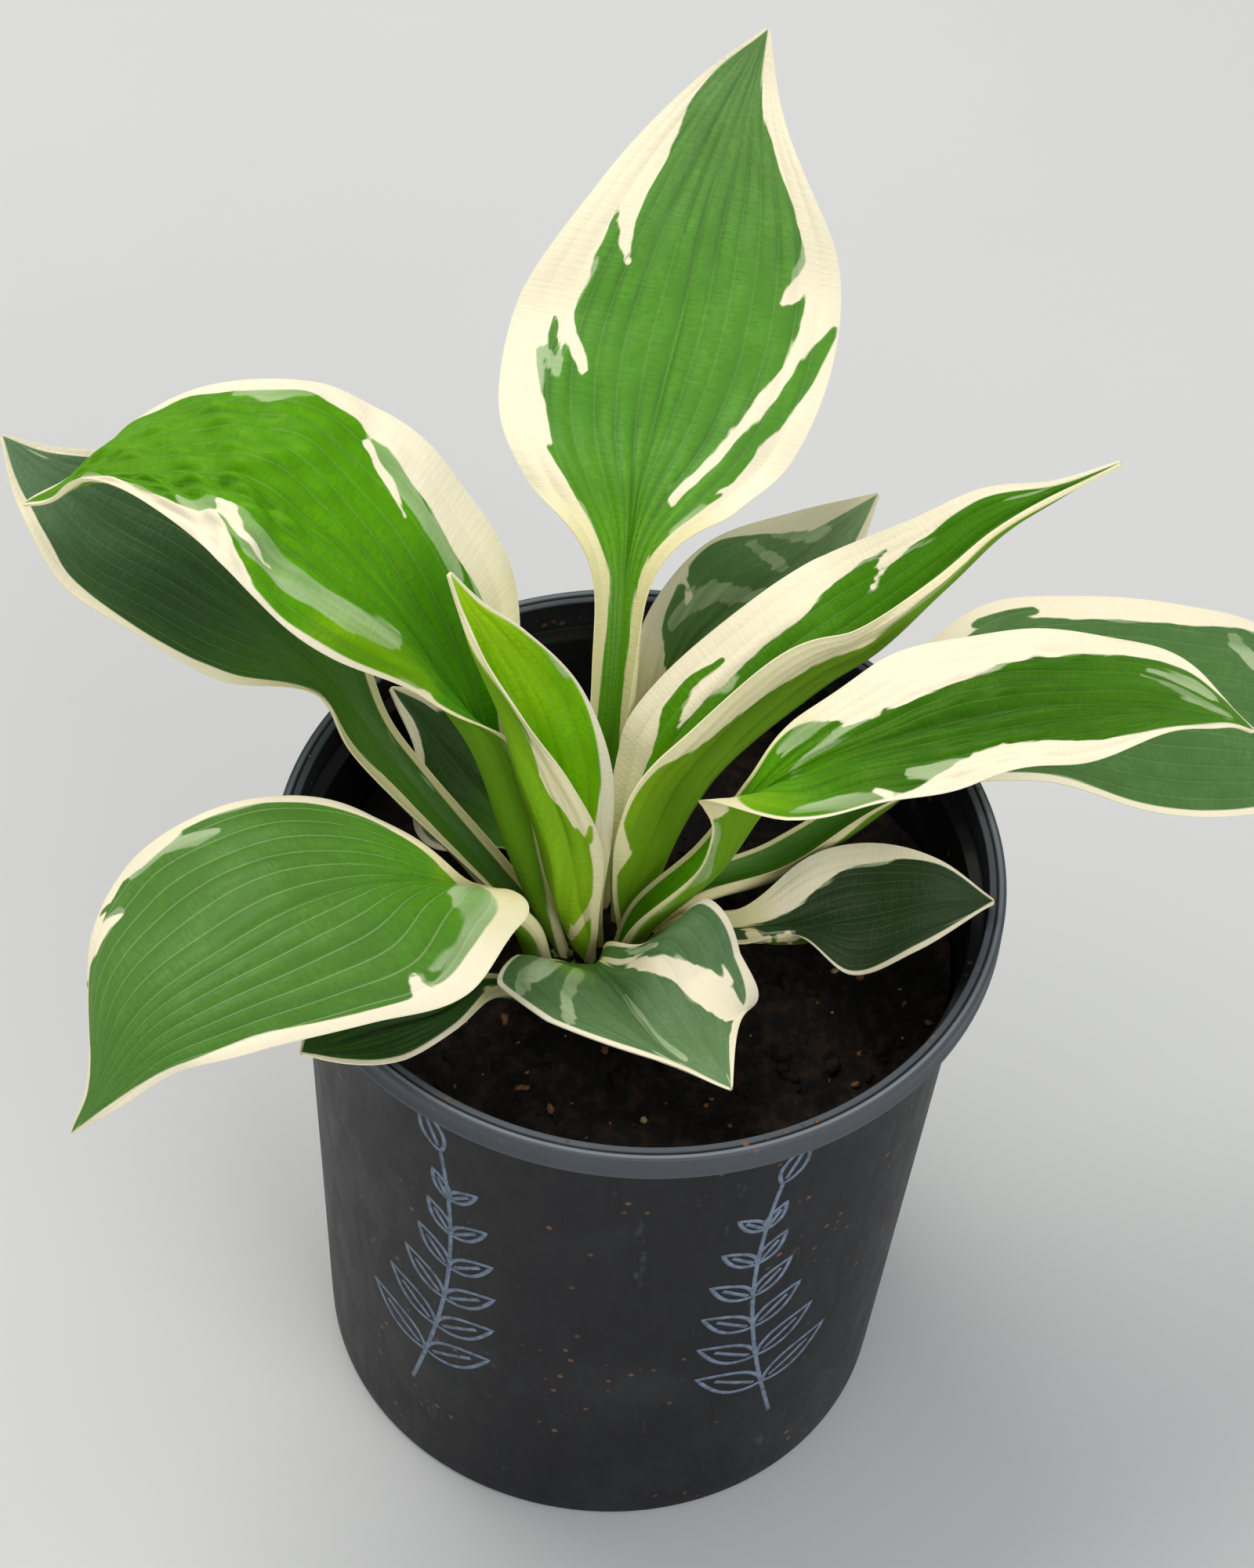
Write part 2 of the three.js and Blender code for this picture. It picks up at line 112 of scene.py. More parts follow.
# %% Helpers for finishes
def colour(red, green, blue):
    """A screen colour as the linear colour of a socket."""
    shares = [channel / 255 for channel in (red, green, blue)]
    linear = [c / 12.92 if c <= 0.04045 else ((c + 0.055) / 1.055) ** 2.4 for c in shares]
    return (*linear, 1.0)


class Finish:
    """A material in the making. Each call adds one node and gives back its output."""

    def __init__(self, name, **sockets):
        self.made = bpy.data.materials.new(name)
        self.made.use_nodes = True
        self.nodes = self.made.node_tree.nodes
        self.links = self.made.node_tree.links
        self.surface = self.nodes["Principled BSDF"]
        for socket, value in sockets.items():
            self.put(socket.replace("_", " "), value)

    def feed(self, socket, value):
        if isinstance(value, bpy.types.NodeSocket):
            self.links.new(value, socket)
        else:
            socket.default_value = value

    def put(self, socket, value):
        """Feeds a socket of the shader itself."""
        self.feed(self.surface.inputs[socket], value)

    def node(self, kind, inputs, **settings):
        made = self.nodes.new("ShaderNode" + kind)
        for key, value in settings.items():
            setattr(made, key, value)
        for key, value in inputs.items():
            self.feed(made.inputs[key], value)
        return made

    def calc(self, operation, *values, clamp=False):
        inputs = dict(enumerate(values))
        return self.node("Math", inputs, operation=operation, use_clamp=clamp).outputs[0]

    def times(self, first, second):
        return self.calc("MULTIPLY", first, second)

    def shifted(self, value, noise, amount, middle=0.5):
        """A value moved by noise, and left alone where the noise is at its middle."""
        return self.calc("MULTIPLY_ADD", self.calc("SUBTRACT", noise, middle), amount, value)

    def stretch(self, vector, by):
        return self.node("VectorMath", {0: vector, 1: by}, operation="MULTIPLY").outputs[0]

    def step(self, value, low, high):
        """0 below low, 1 above high and a soft step between them."""
        inputs = {"Value": value, "From Min": low, "From Max": high}
        return self.node("MapRange", inputs, interpolation_type="SMOOTHSTEP").outputs[0]

    def fade(self, value, low, high):
        """1 below low, 0 above high and a soft step between them."""
        return self.calc("SUBTRACT", 1.0, self.step(value, low, high))

    def mix(self, share, first, second, blend="MIX"):
        inputs = {0: share, 6: first, 7: second}
        return self.node("Mix", inputs, data_type="RGBA", blend_type=blend).outputs[2]

    def noise(self, vector, scale, detail=2.0, roughness=0.5):
        inputs = {"Vector": vector, "Scale": scale, "Detail": detail, "Roughness": roughness}
        return self.node("TexNoise", inputs).outputs[0]

    def object_place(self):
        return self.node("TexCoord", {}).outputs["Object"]

    def attribute(self, name, output="Fac"):
        return self.node("Attribute", {}, attribute_name=name).outputs[output]

    def bump(self, height, strength, distance):
        inputs = {"Height": height, "Strength": strength, "Distance": distance}
        self.put("Normal", self.node("Bump", inputs).outputs[0])


def finished(name, bm, material, node):
    """A bmesh as a piece of the object, which replaces a node and rides on the one body."""
    mesh = bpy.data.meshes.new(name)
    bm.to_mesh(mesh)
    bm.free()
    mesh.materials.append(material)
    mesh.polygons.foreach_set("use_smooth", [True] * len(mesh.polygons))
    piece = bpy.data.objects.new(name, mesh)
    bpy.context.scene.collection.objects.link(piece)
    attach(piece, "root")
    if node:
        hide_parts(node)
    return piece


# %% [markdown]
# The plant stands on a plain pale floor, wide enough to fill the view from any side. A faint
# mottle keeps it from looking like an empty page.

# %% Floor
FLOOR_SIZE = 16.0

floor_finish = Finish("pale_floor", Roughness=0.9)
floor_mottle = floor_finish.noise(floor_finish.object_place(), 3.0, detail=4)
floor_tone = floor_finish.mix(floor_mottle, colour(196, 195, 192), colour(206, 205, 203))
floor_finish.put("Base Color", floor_tone)
bm = bmesh.new()
bmesh.ops.create_grid(bm, x_segments=1, y_segments=1, size=FLOOR_SIZE / 2)
floor_mesh = bpy.data.meshes.new("floor")
bm.to_mesh(floor_mesh)
bm.free()
floor_mesh.materials.append(floor_finish.made)
floor = bpy.data.objects.new("floor", floor_mesh)
bpy.context.scene.collection.objects.link(floor)
print("floor", FLOOR_SIZE, "m wide")

# %% [markdown]
# A leaf is one sheet that grows from the crown: a folded stalk opens into a blade, the blade
# arches over and ends in a point. It could be sculpted, but a few stations along the midrib can
# be set against the photograph and changed one by one. Each has x, y and z in millimetres, the
# half-widths to the left and right edge, as seen from the crown, and the tilts of both halves in
# degrees. They are the stations of the solid model, so each fine leaf lies where its solid lies.
#
# Besides them a leaf has its stem, the station where its stalk ends, and the curl of both halves
# in degrees. It may be turned about its stalk, its edges may have a wave (height, count and the
# phases of both halves), and its lobes may go back past the stalk by some millimetres, with a
# reach in stations and a rise. Ridges between the veins, long folds and puckers have heights in
# millimetres, and the puckers have the shares of the blade where they start and end.

# %% Leaves: their stations
LEAVES = {
    "leaf_back_tall": {
        "stem": 3, "curl": (-15, -15), "wave": (1.5, 3, 0.4, 0), "ridge": 0.8, "folds": 0.7,
        "stations": [
            (-10.1, 13.4, 134.3, 3.5, 3.5, 15, 15),
            (-9.2, 21.4, 161.2, 5.6, 4.4, 15, 15),
            (-8.6, 35, 192.6, 7, 5.1, 15, 15),
            (-9, 50, 212, 9.4, 9.8, 15, 15),
            (-8, 62, 220, 25, 23, 16, 14),
            (-6, 76, 229, 36, 33, 8, 6),
            (-2, 96, 243, 38, 36, 4, 2),
            (2, 117, 260, 25.4, 29.6, 4, 4),
            (8, 134, 277, 12.6, 9.8, 10, 10),
            (12, 144, 290, 0.6, 0.6, 10, 10),
        ],
    },
    "leaf_left_arched": {
        "stem": 2, "curl": (-20, -20), "wave": (2, 3, 0, 0.3), "lobe": (2, 2), "ridge": 0.35,
        "pucker": (1.4, 0.35, 0.8), "folds": 0.5,
        "stations": [
            (-15.2, 1.2, 134.3, 3.4, 3.4, 15, 15),
            (-27.5, 4, 165.6, 6.2, 4.4, 60, 10),
            (-37.8, 9.5, 195.2, 9.5, 8, 66, 20),
            (-49, 14, 214, 9.6, 30, 10, 25),
            (-63, 18, 234, 21.5, 36, 5, 15),
            (-77, 23, 246, 24.6, 37, 0, 10),
            (-90, 28, 253, 22, 34.5, 0, 10),
            (-110, 34, 246, 10, 28, 10, 10),
            (-127, 38, 238, 3.4, 15.5, 20, 10),
            (-136, 40, 229.5, 2.8, 4, 20, 10),
            (-143, 42, 223, 0.6, 0.6, 10, 10),
        ],
    },
    "leaf_left_long": {
        "stem": 4, "curl": (-10, -10), "ridge": 0.2,
        "stations": [
            (-21.5, 5.2, 134.3, 3.8, 3.8, 15, 15),
            (-35, 9, 150, 6.5, 5, 10, 20),
            (-53, 17, 168, 11.4, 5, 5, 20),
            (-64, 24, 178, 12.6, 5.6, 0, 20),
            (-74, 31, 187, 10.8, 11, 10, 20),
            (-90, 38, 196, 20, 26, 5, 15),
            (-109, 45, 204, 22, 28, 5, 10),
            (-127, 51, 211, 21, 19, 5, 10),
            (-141, 55, 219, 12, 8, 10, 15),
            (-150, 58, 227, 0.6, 0.6, 10, 10),
        ],
    },
    "leaf_front_broad": {
        "stem": 2, "curl": (-25, -30), "lobe": (25, 0), "rise": 0.2, "ridge": 0.45,
        "stations": [
            (-21, -3.6, 134.3, 3.3, 3.3, 15, 15),
            (-26, -12, 160, 4.2, 4.2, 15, 15),
            (-39, -22, 182, 6, 2.4, 25, 20),
            (-50, -30, 193, 17, 18.5, 0, 20),
            (-62, -38, 198, 33, 29.5, -5, 15),
            (-76, -48, 199, 31, 35.5, -10, 10),
            (-92, -60, 195, 24, 39.5, -10, 0),
            (-104, -69, 187, 17, 29, -5, 0),
            (-112, -77, 172, 8, 5, 0, 0),
            (-117, -81, 159, 0.6, 0.6, 0, 0),
        ],
    },
    "leaf_front_small": {
        "stem": 2, "curl": (-10, -10),
        "stations": [
            (-13.6, -9.8, 134.3, 3, 3, 15, 15),
            (-22.5, -18.5, 142, 3, 3, 15, 15),
            (-32, -26.5, 152.8, 3.6, 3, 15, 5),
            (-41, -45.5, 167, 5.6, 7.6, -10, 5),
            (-53, -55.6, 173.2, 10, 16.4, 0, 5),
            (-62, -61.6, 174.2, 7, 11, 5, 5),
            (-69, -66.6, 176, 0.6, 0.6, 0, 0),
        ],
    },
    "leaf_front_heart": {
        "stem": 1, "curl": (-10, -25), "lobe": (0, 8), "reach": 1, "ridge": 0.22,
        "stations": [
            (-5.7, -10.3, 134.3, 3, 3, 15, 15),
            (-8.2, -13, 147, 5, 5, 15, 15),
            (-5, -19, 150, 12, 22, 20, 56),
            (-1.3, -26.3, 153, 29, 32, 32, 52),
            (2.6, -34.5, 156, 27, 24, 8, 48),
            (10, -45.5, 159, 24, 4.6, -12, 38),
            (23.8, -55.8, 162, 0.6, 0.6, 0, 10),
        ],
    },
    "leaf_right_small": {
        "stem": 2, "curl": (-10, -10), "ridge": 0.2,
        "stations": [
            (3.5, 0.2, 134.3, 3, 3, 15, 15),
            (11.5, 0.4, 144.7, 3.5, 3.8, 15, 15),
            (24, -0.6, 148.7, 4.4, 8, 20, 5),
            (36, -1.4, 151.5, 14.5, 4, 30, 30),
            (50, -2, 158, 20, 17, 15, 5),
            (65, -4, 168, 12.4, 14, 10, 5),
            (79, -6, 173, 0.6, 0.6, 5, 5),
        ],
    },
    "leaf_right_upper": {
        "stem": 3, "curl": (-20, -20), "wave": (1.5, 4, 0, 0.3), "lobe": (0, 11.5), "reach": 1,
        "rise": 1.6, "ridge": 0.4, "pucker": (0.3, 0.3, 0.8), "folds": 0.4,
        "stations": [
            (-3.3, -2.6, 134.3, 3.1, 3.1, 15, 15),
            (2, -3.6, 153.5, 4.6, 4.6, 15, 15),
            (15, -6, 178, 4.8, 4.8, 15, 15),
            (24, -6, 202, 4.6, 10, 15, 40),
            (34, -5, 212, 11.8, 15.8, 30, 3),
            (50, -3, 221, 17, 16.6, 25, 5),
            (68, 1, 227, 21, 16.4, 20, 0),
            (88, 5, 229, 18, 15, 20, 0),
            (108, 8, 228, 16, 9, 20, 5),
            (122, 9, 225, 6, 3, 15, 5),
            (130, 9, 221, 0.6, 0.6, 10, 10),
        ],
    },
    "leaf_right_lower": {
        "stem": 3, "curl": (-15, -15),
        "stations": [
            (4.3, 9.5, 134.3, 3.4, 3.4, 15, 15),
            (14, 11, 147.2, 4.2, 4.2, 15, 15),
            (33, 19, 150.4, 5.4, 5, 15, 15),
            (53, 29, 163.8, 6.4, 6.4, 20, 20),
            (66, 38, 173, 20, 13, 20, 15),
            (83, 44, 181, 28.3, 20, 15, 5),
            (103, 50, 182, 28, 29, 10, 0),
            (124, 54, 178, 27.6, 30.4, 10, 0),
            (144, 57, 171, 26, 23.5, 10, 0),
            (158, 58, 166, 10, 9, 5, 0),
            (167, 59, 161, 0.6, 0.6, 0, 0),
        ],
    },
    "leaf_right_folded": {
        "stem": 1, "curl": (-10, 0),
        "stations": [
            (-2.7, 6.5, 134.3, 3.1, 3.1, 15, 15),
            (1.6, 6, 158, 10, 9.6, 30, 60),
            (8, 9, 178, 21, 17, 30, 80),
            (16, 15, 190, 23.5, 12.6, 30, 90),
            (34, 25, 205, 25, 12.4, 25, 95),
            (47, 30, 214, 26, 7, 20, 95),
            (60, 35, 230, 18.5, 3, 20, 90),
            (71, 40, 243, 12, 2, 20, 80),
            (83, 43, 254, 3.4, 1.4, 20, 60),
            (95, 45, 263, 0.6, 0.6, 10, 10),
        ],
    },
    "leaf_centre_rolled": {
        "stem": 1, "curl": (0, 10), "ridge": 0.12,
        "stations": [
            (-9.3, -0.2, 134.3, 3, 3, 20, 20),
            (-14.8, -2.6, 154, 8, 7.6, 60, 40),
            (-20, -2.4, 173, 12, 14, 100, 52),
            (-26, 0, 192, 10, 18.6, 100, 56),
            (-32, 3, 212, 8, 17.2, 64, 51),
            (-38.3, 7, 227, 5, 10.8, 40, 50),
            (-42.3, 10, 236, 3, 4.2, 30, 40),
            (-46, 12, 245, 0.6, 0.6, 10, 10),
        ],
    },
    "leaf_back_right": {
        "stem": 3, "curl": (-10, -10), "ridge": 0.2,
        "stations": [
            (-2.2, 15.8, 134.3, 3.2, 3.2, 15, 15),
            (-1, 25, 152, 4.2, 4.2, 15, 15),
            (0, 36, 167, 5, 5, 15, 15),
            (2, 44, 177, 8, 8, 20, 20),
            (8, 54, 185, 13, 18, 20, 10),
            (20, 65, 192, 15.5, 20, 15, 5),
            (34, 76, 197, 10, 14, 10, 5),
            (47, 84, 206, 0.6, 0.6, 0, 0),
        ],
    },
    "leaf_back_left": {
        "stem": 2, "curl": (-5, -5), "ridge": 0.15,
        "stations": [
            (-17.4, 13.4, 134.3, 2.9, 2.9, 15, 15),
            (-24, 19.5, 141.6, 3.8, 4.2, 15, 15),
            (-32, 26.8, 147.3, 16.2, 8, -15, 20),
            (-42, 33, 154.4, 20, 14, -5, 20),
            (-52, 38, 164.6, 10, 10, 20, 20),
            (-60, 40, 174, 0.6, 0.6, 10, 10),
        ],
    },
    "leaf_centre_bud": {
        "stem": 1, "curl": (30, 30), "turn": 40,
        "stations": [
            (-11.7, 8.2, 134.3, 2, 2, 50, 50),
            (-10.6, 7.4, 143, 2.4, 2.4, 60, 60),
            (-9.9, 6.2, 154, 2.5, 2.5, 60, 60),
            (-9.2, 4.8, 166, 0.6, 0.6, 40, 40),
        ],
    },
}
print(len(LEAVES), "leaves,", sum(len(leaf["stations"]) for leaf in LEAVES.values()), "stations")

# %% [markdown]
# The leaves are dark or bright green with a cream margin. The margin follows the edge, and its
# inner side runs in fingers along the veins. Each leaf has its own: the width of its margins in
# millimetres at each station, left and right, and the strokes that its pattern has besides,
# each a list of places on the leaf (station, share of the half-width, stroke's half-width in
# millimetres). A stroke adds cream, gives green back, or lays a pale grey-green or a bright
# green over the leaf's own. The bright green is partly the leaf's own and partly painted glow,
# where light shines through the leaf. Strokes could be painted on a picture instead, but as
# places on the leaf they follow its form, and their edges stay sharp at any distance.
#
# The tints are the leaf's green at its stalk, in its middle and at its tip. The veins number
# says how clearly the lighter vein lines show, and the valley number how strongly painted shade
# darkens the sunken veins; the gloss of young leaves is yellower, because they still lack the
# grey bloom of the others.

# %% Leaves: their patterns
PATTERNS = {
    "leaf_back_tall": {
        "margins": (
            (1, 1.6, 2.8, 5, 10, 11.5, 14, 11.4, 2.4, 0.6),
            (1, 1.6, 3.7, 4.9, 7.4, 9.2, 9, 7.5, 5, 0.6),
        ),
        "strokes": [
            ("green", (3.9, -0.4, 3), (4.3, -0.58, 2.2), (4.58, -0.72, 0.4)),
            ("green", (4.6, -0.5, 3.5), (5.2, -0.64, 2.6), (5.55, -0.78, 0.5)),
            ("green", (5.3, -0.6, 2), (5.65, -0.72, 1.2), (5.9, -0.74, 0.4)),
            ("green", (5.9, -0.5, 3), (6.4, -0.6, 2.2), (6.85, -0.7, 0.3)),
            ("green", (3.8, 0.45, 3), (4.3, 0.75, 0.5)),
            ("green", (4.6, 0.6, 4), (5.3, 0.72, 3), (5.8, 0.84, 2.6), (6.22, 0.97, 1)),
            ("cream", (5.42, -0.48, 1), (5.65, -0.58, 1.6), (5.95, -0.74, 2.2)),
            ("cream", (6.42, -0.43, 1), (6.6, -0.52, 2), (6.95, -0.66, 3)),
            ("cream", (4.05, 0.34, 0.6), (4.6, 0.47, 1), (5.2, 0.59, 1.4), (5.8, 0.74, 2)),
            ("cream", (5.8, 0.74, 2), (6.4, 0.86, 3.4), (7, 0.93, 2)),
            ("green", (5.6, 0.55, 3), (6, 0.66, 1.6), (6.24, 0.73, 0.4)),
            ("cream", (6.27, 0.57, 0.6), (6.45, 0.7, 2), (6.7, 0.83, 3)),
            ("pale", (5.95, -0.68, 2), (6.4, -0.64, 1)),
            ("pale", (3.2, -0.62, 1.5), (3.7, -0.62, 2)),
            ("pale", (3.5, 0.62, 1.2), (4, 0.68, 1.2)),
        ],
        "valley_shading": 0.6, "tints": ((90, 150, 0), (84, 145, 30), (104, 142, 76)),
    },
    "leaf_left_arched": {
        "margins": (
            (0.9, 1, 1.2, 1, 1.6, 1.3, 5, 2.6, 1, 0.8, 0.6),
            (0.9, 1, 3, 12.6, 12.6, 8, 5.5, 3.4, 1.2, 0.8, 0.6),
        ),
        "strokes": [
            ("cream", (5.25, -0.95, 1.6), (5.7, -0.9, 3), (6.2, -0.74, 2.4)),
            ("cream", (6.2, -0.74, 2.4), (6.6, -0.86, 2), (7, -0.95, 1)),
            ("cream", (4.75, -0.56, 0.3), (5.2, -0.65, 0.9), (5.7, -0.62, 1.1), (6.1, -0.52, 2)),
            ("cream", (2.95, -0.72, 0.3), (2.95, -1, 2.2)),
            ("cream", (4.15, 0.45, 0.4), (4.5, 0.56, 0.9), (5, 0.71, 1.1)),
            ("pale", (3.5, -0.38, 2.4), (4, -0.55, 3.2), (4.6, -0.6, 3.2), (5.4, -0.6, 3.2)),
            ("pale", (5.4, -0.6, 3.2), (6, -0.58, 3), (6.6, -0.66, 2)),
            ("pale", (3.4, 0.5, 1.5), (3.9, 0.57, 3), (4.5, 0.66, 2.6), (5, 0.77, 1)),
            ("pale", (6.05, 0.8, 1), (6.35, 0.78, 2.4), (6.7, 0.86, 1.5)),
            ("bright", (3, -0.75, 2), (3.6, -0.62, 3), (4.2, -0.78, 2)),
        ],
        "young": True, "valley_shading": 0.4, "tints": ((66, 135, 0), (84, 150, 0), (90, 146, 8)),
    },
    "leaf_left_long": {
        "margins": (
            (1, 3, 6, 5, 1.5, 2.6, 1.4, 3.4, 3, 0.6),
            (1, 2, 1.5, 1.6, 2, 2.4, 2, 2.4, 2, 0.6),
        ),
        "tints": ((66, 112, 16), (50, 82, 34), (112, 142, 104)),
    },
    "leaf_front_broad": {
        "margins": (
            (1, 1.6, 2.4, 2.8, 4.6, 3.2, 3.8, 1.8, 2, 0.6),
            (1, 1.4, 2.4, 3.7, 2.9, 2.5, 3, 4.4, 2, 0.6),
        ),
        "strokes": [
            ("cream", (1.9, -0.9, 1.6), (2.2, -0.88, 1.8), (2.5, -0.92, 1.4)),
            ("cream", (4.2, -0.74, 0.3), (4.32, -0.89, 2)),
            ("cream", (5.35, 0.93, 1.5), (5.8, 0.92, 3), (6.2, 0.97, 1.5)),
            ("cream", (6.45, 0.7, 0.5), (6.7, 0.8, 2), (7.1, 0.9, 3)),
            ("green", (6.55, 0.9, 1), (6.7, 0.95, 0.8)),
            ("green", (7.1, 0.65, 0.8), (7.25, 0.8, 1), (7.35, 0.95, 0.8)),
            ("pale", (2.2, -0.5, 2), (2.6, -0.65, 3.4), (3.05, -0.78, 2.6)),
            ("pale", (3.05, -0.78, 2.6), (3.5, -0.8, 1.6), (3.95, -0.77, 1)),
            ("pale", (5, 0.78, 1), (5.25, 0.8, 2.4), (5.5, 0.84, 1.4)),
            ("bright", (1.6, 0, 1), (2.3, 0.2, 1)),
        ],
        "veins": 0.3, "tints": ((84, 145, 0), (76, 124, 30), (84, 132, 50)),
    },
    "leaf_front_small": {
        "margins": ((0.9, 0.9, 1.6, 1.2, 1.2, 1.2, 0.6), (0.9, 0.9, 1.2, 1.6, 2, 1.8, 0.6)),
        "strokes": [
            ("cream", (2, -0.2, 0.5), (2.3, -0.9, 0.8)),
        ],
        "tints": ((40, 80, 6), (36, 70, 10), (44, 86, 16)),
    },
    "leaf_front_heart": {
        "margins": ((0.9, 1.2, 1.2, 1.6, 1.6, 4, 0.6), (0.9, 1.2, 1, 1.2, 1.6, 1.4, 0.6)),
        "strokes": [
            ("cream", (1.2, -0.15, 0.3), (1.6, -0.33, 0.7), (2, -0.42, 1), (2.8, -0.33, 1.6)),
            ("cream", (2.8, -0.3, 1.4), (3.2, -0.37, 2), (3.6, -0.45, 2.6), (4, -0.54, 3.6)),
            ("cream", (4, -0.54, 3.6), (4.5, -0.67, 3.8), (5, -0.82, 3.4)),
            ("cream", (4, -0.82, 0.4), (4.25, -0.8, 1)),
            ("green", (5.15, -0.55, 2), (5.35, -0.8, 1)),
            ("pale", (1.8, -0.8, 1.4), (2.2, -0.6, 1.6), (2.8, -0.5, 0.8)),
            ("pale", (2.4, 0.36, 1), (3, 0.42, 1.6), (3.5, 0.55, 1.6), (4, 0.76, 1.2), (4.2, 0.95, 0.8)),
            ("pale", (2.1, 0.62, 2), (2.6, 0.66, 2.2), (3, 0.78, 2), (3.5, 0.93, 1.2)),
            ("pale", (3, 0, 0.3), (4, -0.02, 0.5), (5.2, -0.05, 0.35)),
            ("bright", (1.9, 0.5, 2), (2.3, 0.42, 2)),
        ],
        "tints": ((74, 116, 40), (86, 118, 72), (104, 134, 88)),
    },
    "leaf_right_small": {
        "margins": ((1, 3, 4.4, 10, 6, 1.6, 0.6), (1, 1.6, 2.4, 0.8, 1, 1.6, 0.6)),
        "strokes": [
            ("cream", (2.2, 0.2, 1.5), (2.4, 0.9, 1.6)),
            ("green", (2.62, 0.3, 0.5), (2.7, 1, 0.7)),
            ("cream", (2.9, 0.35, 0.6), (2.95, 1, 1)),
            ("green", (3.3, -0.2, 2), (4.2, -0.3, 5)),
        ],
        "tints": ((40, 72, 12), (25, 52, 4), (28, 58, 8)),
    },
    "leaf_right_upper": {
        "margins": (
            (1, 1, 1, 0.8, 2, 10.9, 12, 6, 4.2, 0.8, 0.6),
            (1, 0.6, 0.3, 0.6, 0.9, 1, 6.9, 5.2, 1.4, 1, 0.6),
        ),
        "strokes": [
            ("cream", (4.6, -0.6, 3), (4.9, -0.6, 5)),
            ("cream", (2.9, 0.95, 2.4), (3.25, 0.95, 2.8), (3.6, 1, 1.2)),
            ("cream", (4.8, 0.78, 0.4), (4.95, 0.92, 1)),
            ("cream", (5.9, 0.6, 0.8), (6.2, 0.75, 4)),
            ("pale", (3.7, -0.65, 1.5), (4.2, -0.7, 3), (4.8, -0.72, 2)),
            ("pale", (3.7, 0, 0.4), (4, -0.15, 0.6), (4.5, -0.28, 0.7), (5, -0.36, 0.6)),
            ("pale", (7.9, -0.52, 0.8), (8.8, -0.6, 1.4)),
            ("pale", (7.8, -0.42, 0.5), (8.4, -0.3, 1.2), (9.2, -0.1, 0.6)),
            ("pale", (4.05, 0.78, 1.2), (4.4, 0.82, 2), (4.8, 0.9, 1.2)),
            ("pale", (5.2, 0.65, 1), (5.5, 0.68, 1.8), (5.85, 0.66, 1)),
            ("bright", (3.3, 0.6, 2), (3.7, 0.75, 2)),
        ],
        "young": True, "valley_shading": 0.6, "tints": ((86, 150, 0), (46, 101, 0), (80, 130, 34)),
    },
    "leaf_right_lower": {
        "margins": (
            (1, 1, 1, 1.4, 5, 5, 7, 6, 3, 1.6, 0.6),
            (1, 1.4, 2, 1.2, 2, 2, 1.6, 1.6, 1.6, 1, 0.6),
        ),
        "strokes": [
            ("green", (4.9, -0.85, 1.4), (5.5, -0.84, 1)),
            ("green", (5, -0.7, 2), (5.65, -0.74, 0.8)),
            ("green", (6.2, -0.6, 3), (6.8, -0.68, 3.4), (7.4, -0.74, 1.2)),
            ("pale", (7.55, -0.7, 2), (7.9, -0.4, 2.6)),
        ],
        "tints": ((70, 124, 0), (78, 116, 54), (90, 126, 68)),
    },
    "leaf_right_folded": {
        "margins": (
            (1, 3, 8.6, 11.5, 11.2, 8.6, 6.6, 2.8, 1.4, 0.6),
            (1, 1, 1, 2, 2, 1, 0.8, 0.6, 0.5, 0.6),
        ),
        "strokes": [
            ("green", (2.4, -0.45, 2.6), (2.9, -0.68, 2), (3.2, -0.74, 1.4), (3.5, -0.7, 0.5)),
            ("green", (5, -0.6, 2.6), (5.4, -0.69, 1.6), (5.7, -0.75, 0.4)),
            ("cream", (5.35, -0.5, 1), (5.55, -0.6, 1.6), (5.8, -0.72, 2)),
            ("cream", (2.6, 0.95, 1), (2.9, 0.85, 2.4), (3.3, 0.8, 3), (3.7, 0.75, 3.6)),
            ("cream", (3.7, 0.75, 3.6), (4.3, 0.7, 3), (5, 0.7, 1.8), (5.6, 0.75, 1), (6.5, 0.85, 0.5)),
            ("cream", (1.1, 1, 0.8), (1.4, 0.8, 1.5), (1.8, 1, 1)),
            ("bright", (2, 0.8, 3), (2.6, 0.65, 3)),
        ],
        "young": True, "tints": ((100, 158, 0), (62, 124, 0), (58, 120, 0)),
    },
    "leaf_centre_rolled": {
        "margins": ((1, 1.6, 3, 6, 1.6, 1, 0.8, 0.6), (1, 2, 4, 2.4, 0.7, 0.6, 0.8, 0.6)),
        "strokes": [
            ("cream", (0.5, -0.1, 0.6), (0.8, -0.4, 0.8), (1.2, -0.8, 1), (1.6, -1, 1)),
            ("green", (2.05, -0.6, 0.8), (2.15, -0.8, 0.9), (2.35, -0.92, 0.5)),
            ("bright", (4, 0.4, 4), (5, 0.45, 4), (5.6, 0.5, 3)),
        ],
        # The rolled leaf's tints are painted brighter than its own young green: painted glow of light
        # shining through it.
        "young": True, "tints": ((150, 196, 10), (116, 180, 0), (176, 214, 16)),
    },
    "leaf_back_right": {
        "margins": ((1, 1, 1.4, 9, 4, 1.2, 6, 0.6), (1, 1, 1.4, 3, 8, 8, 4, 0.6)),
        "strokes": [
            ("cream", (4.3, -0.5, 0.3), (4.45, -0.8, 0.8), (4.55, -1, 1.6)),
            ("cream", (5.45, -0.9, 1.6), (5.9, -0.9, 2.6)),
            ("pale", (5.35, -0.6, 1.6), (5.45, 0, 1.6)),
            ("pale", (5.7, -0.6, 2), (6.1, -0.3, 3)),
            ("pale", (4, -0.5, 1.6), (4.6, -0.3, 2.6), (5, 0.2, 1.6)),
        ],
        "tints": ((88, 130, 36), (96, 134, 72), (140, 166, 120)),
    },
    "leaf_back_left": {
        "margins": ((0.8, 1, 1.6, 2, 5, 0.6), (0.8, 1, 1.6, 2.2, 5, 0.6)),
        "tints": ((64, 112, 8), (52, 84, 30), (58, 90, 40)),
    },
    "leaf_centre_bud": {
        "margins": ((0.4, 0.6, 0.6, 0.4), (0.4, 0.6, 0.6, 0.4)),
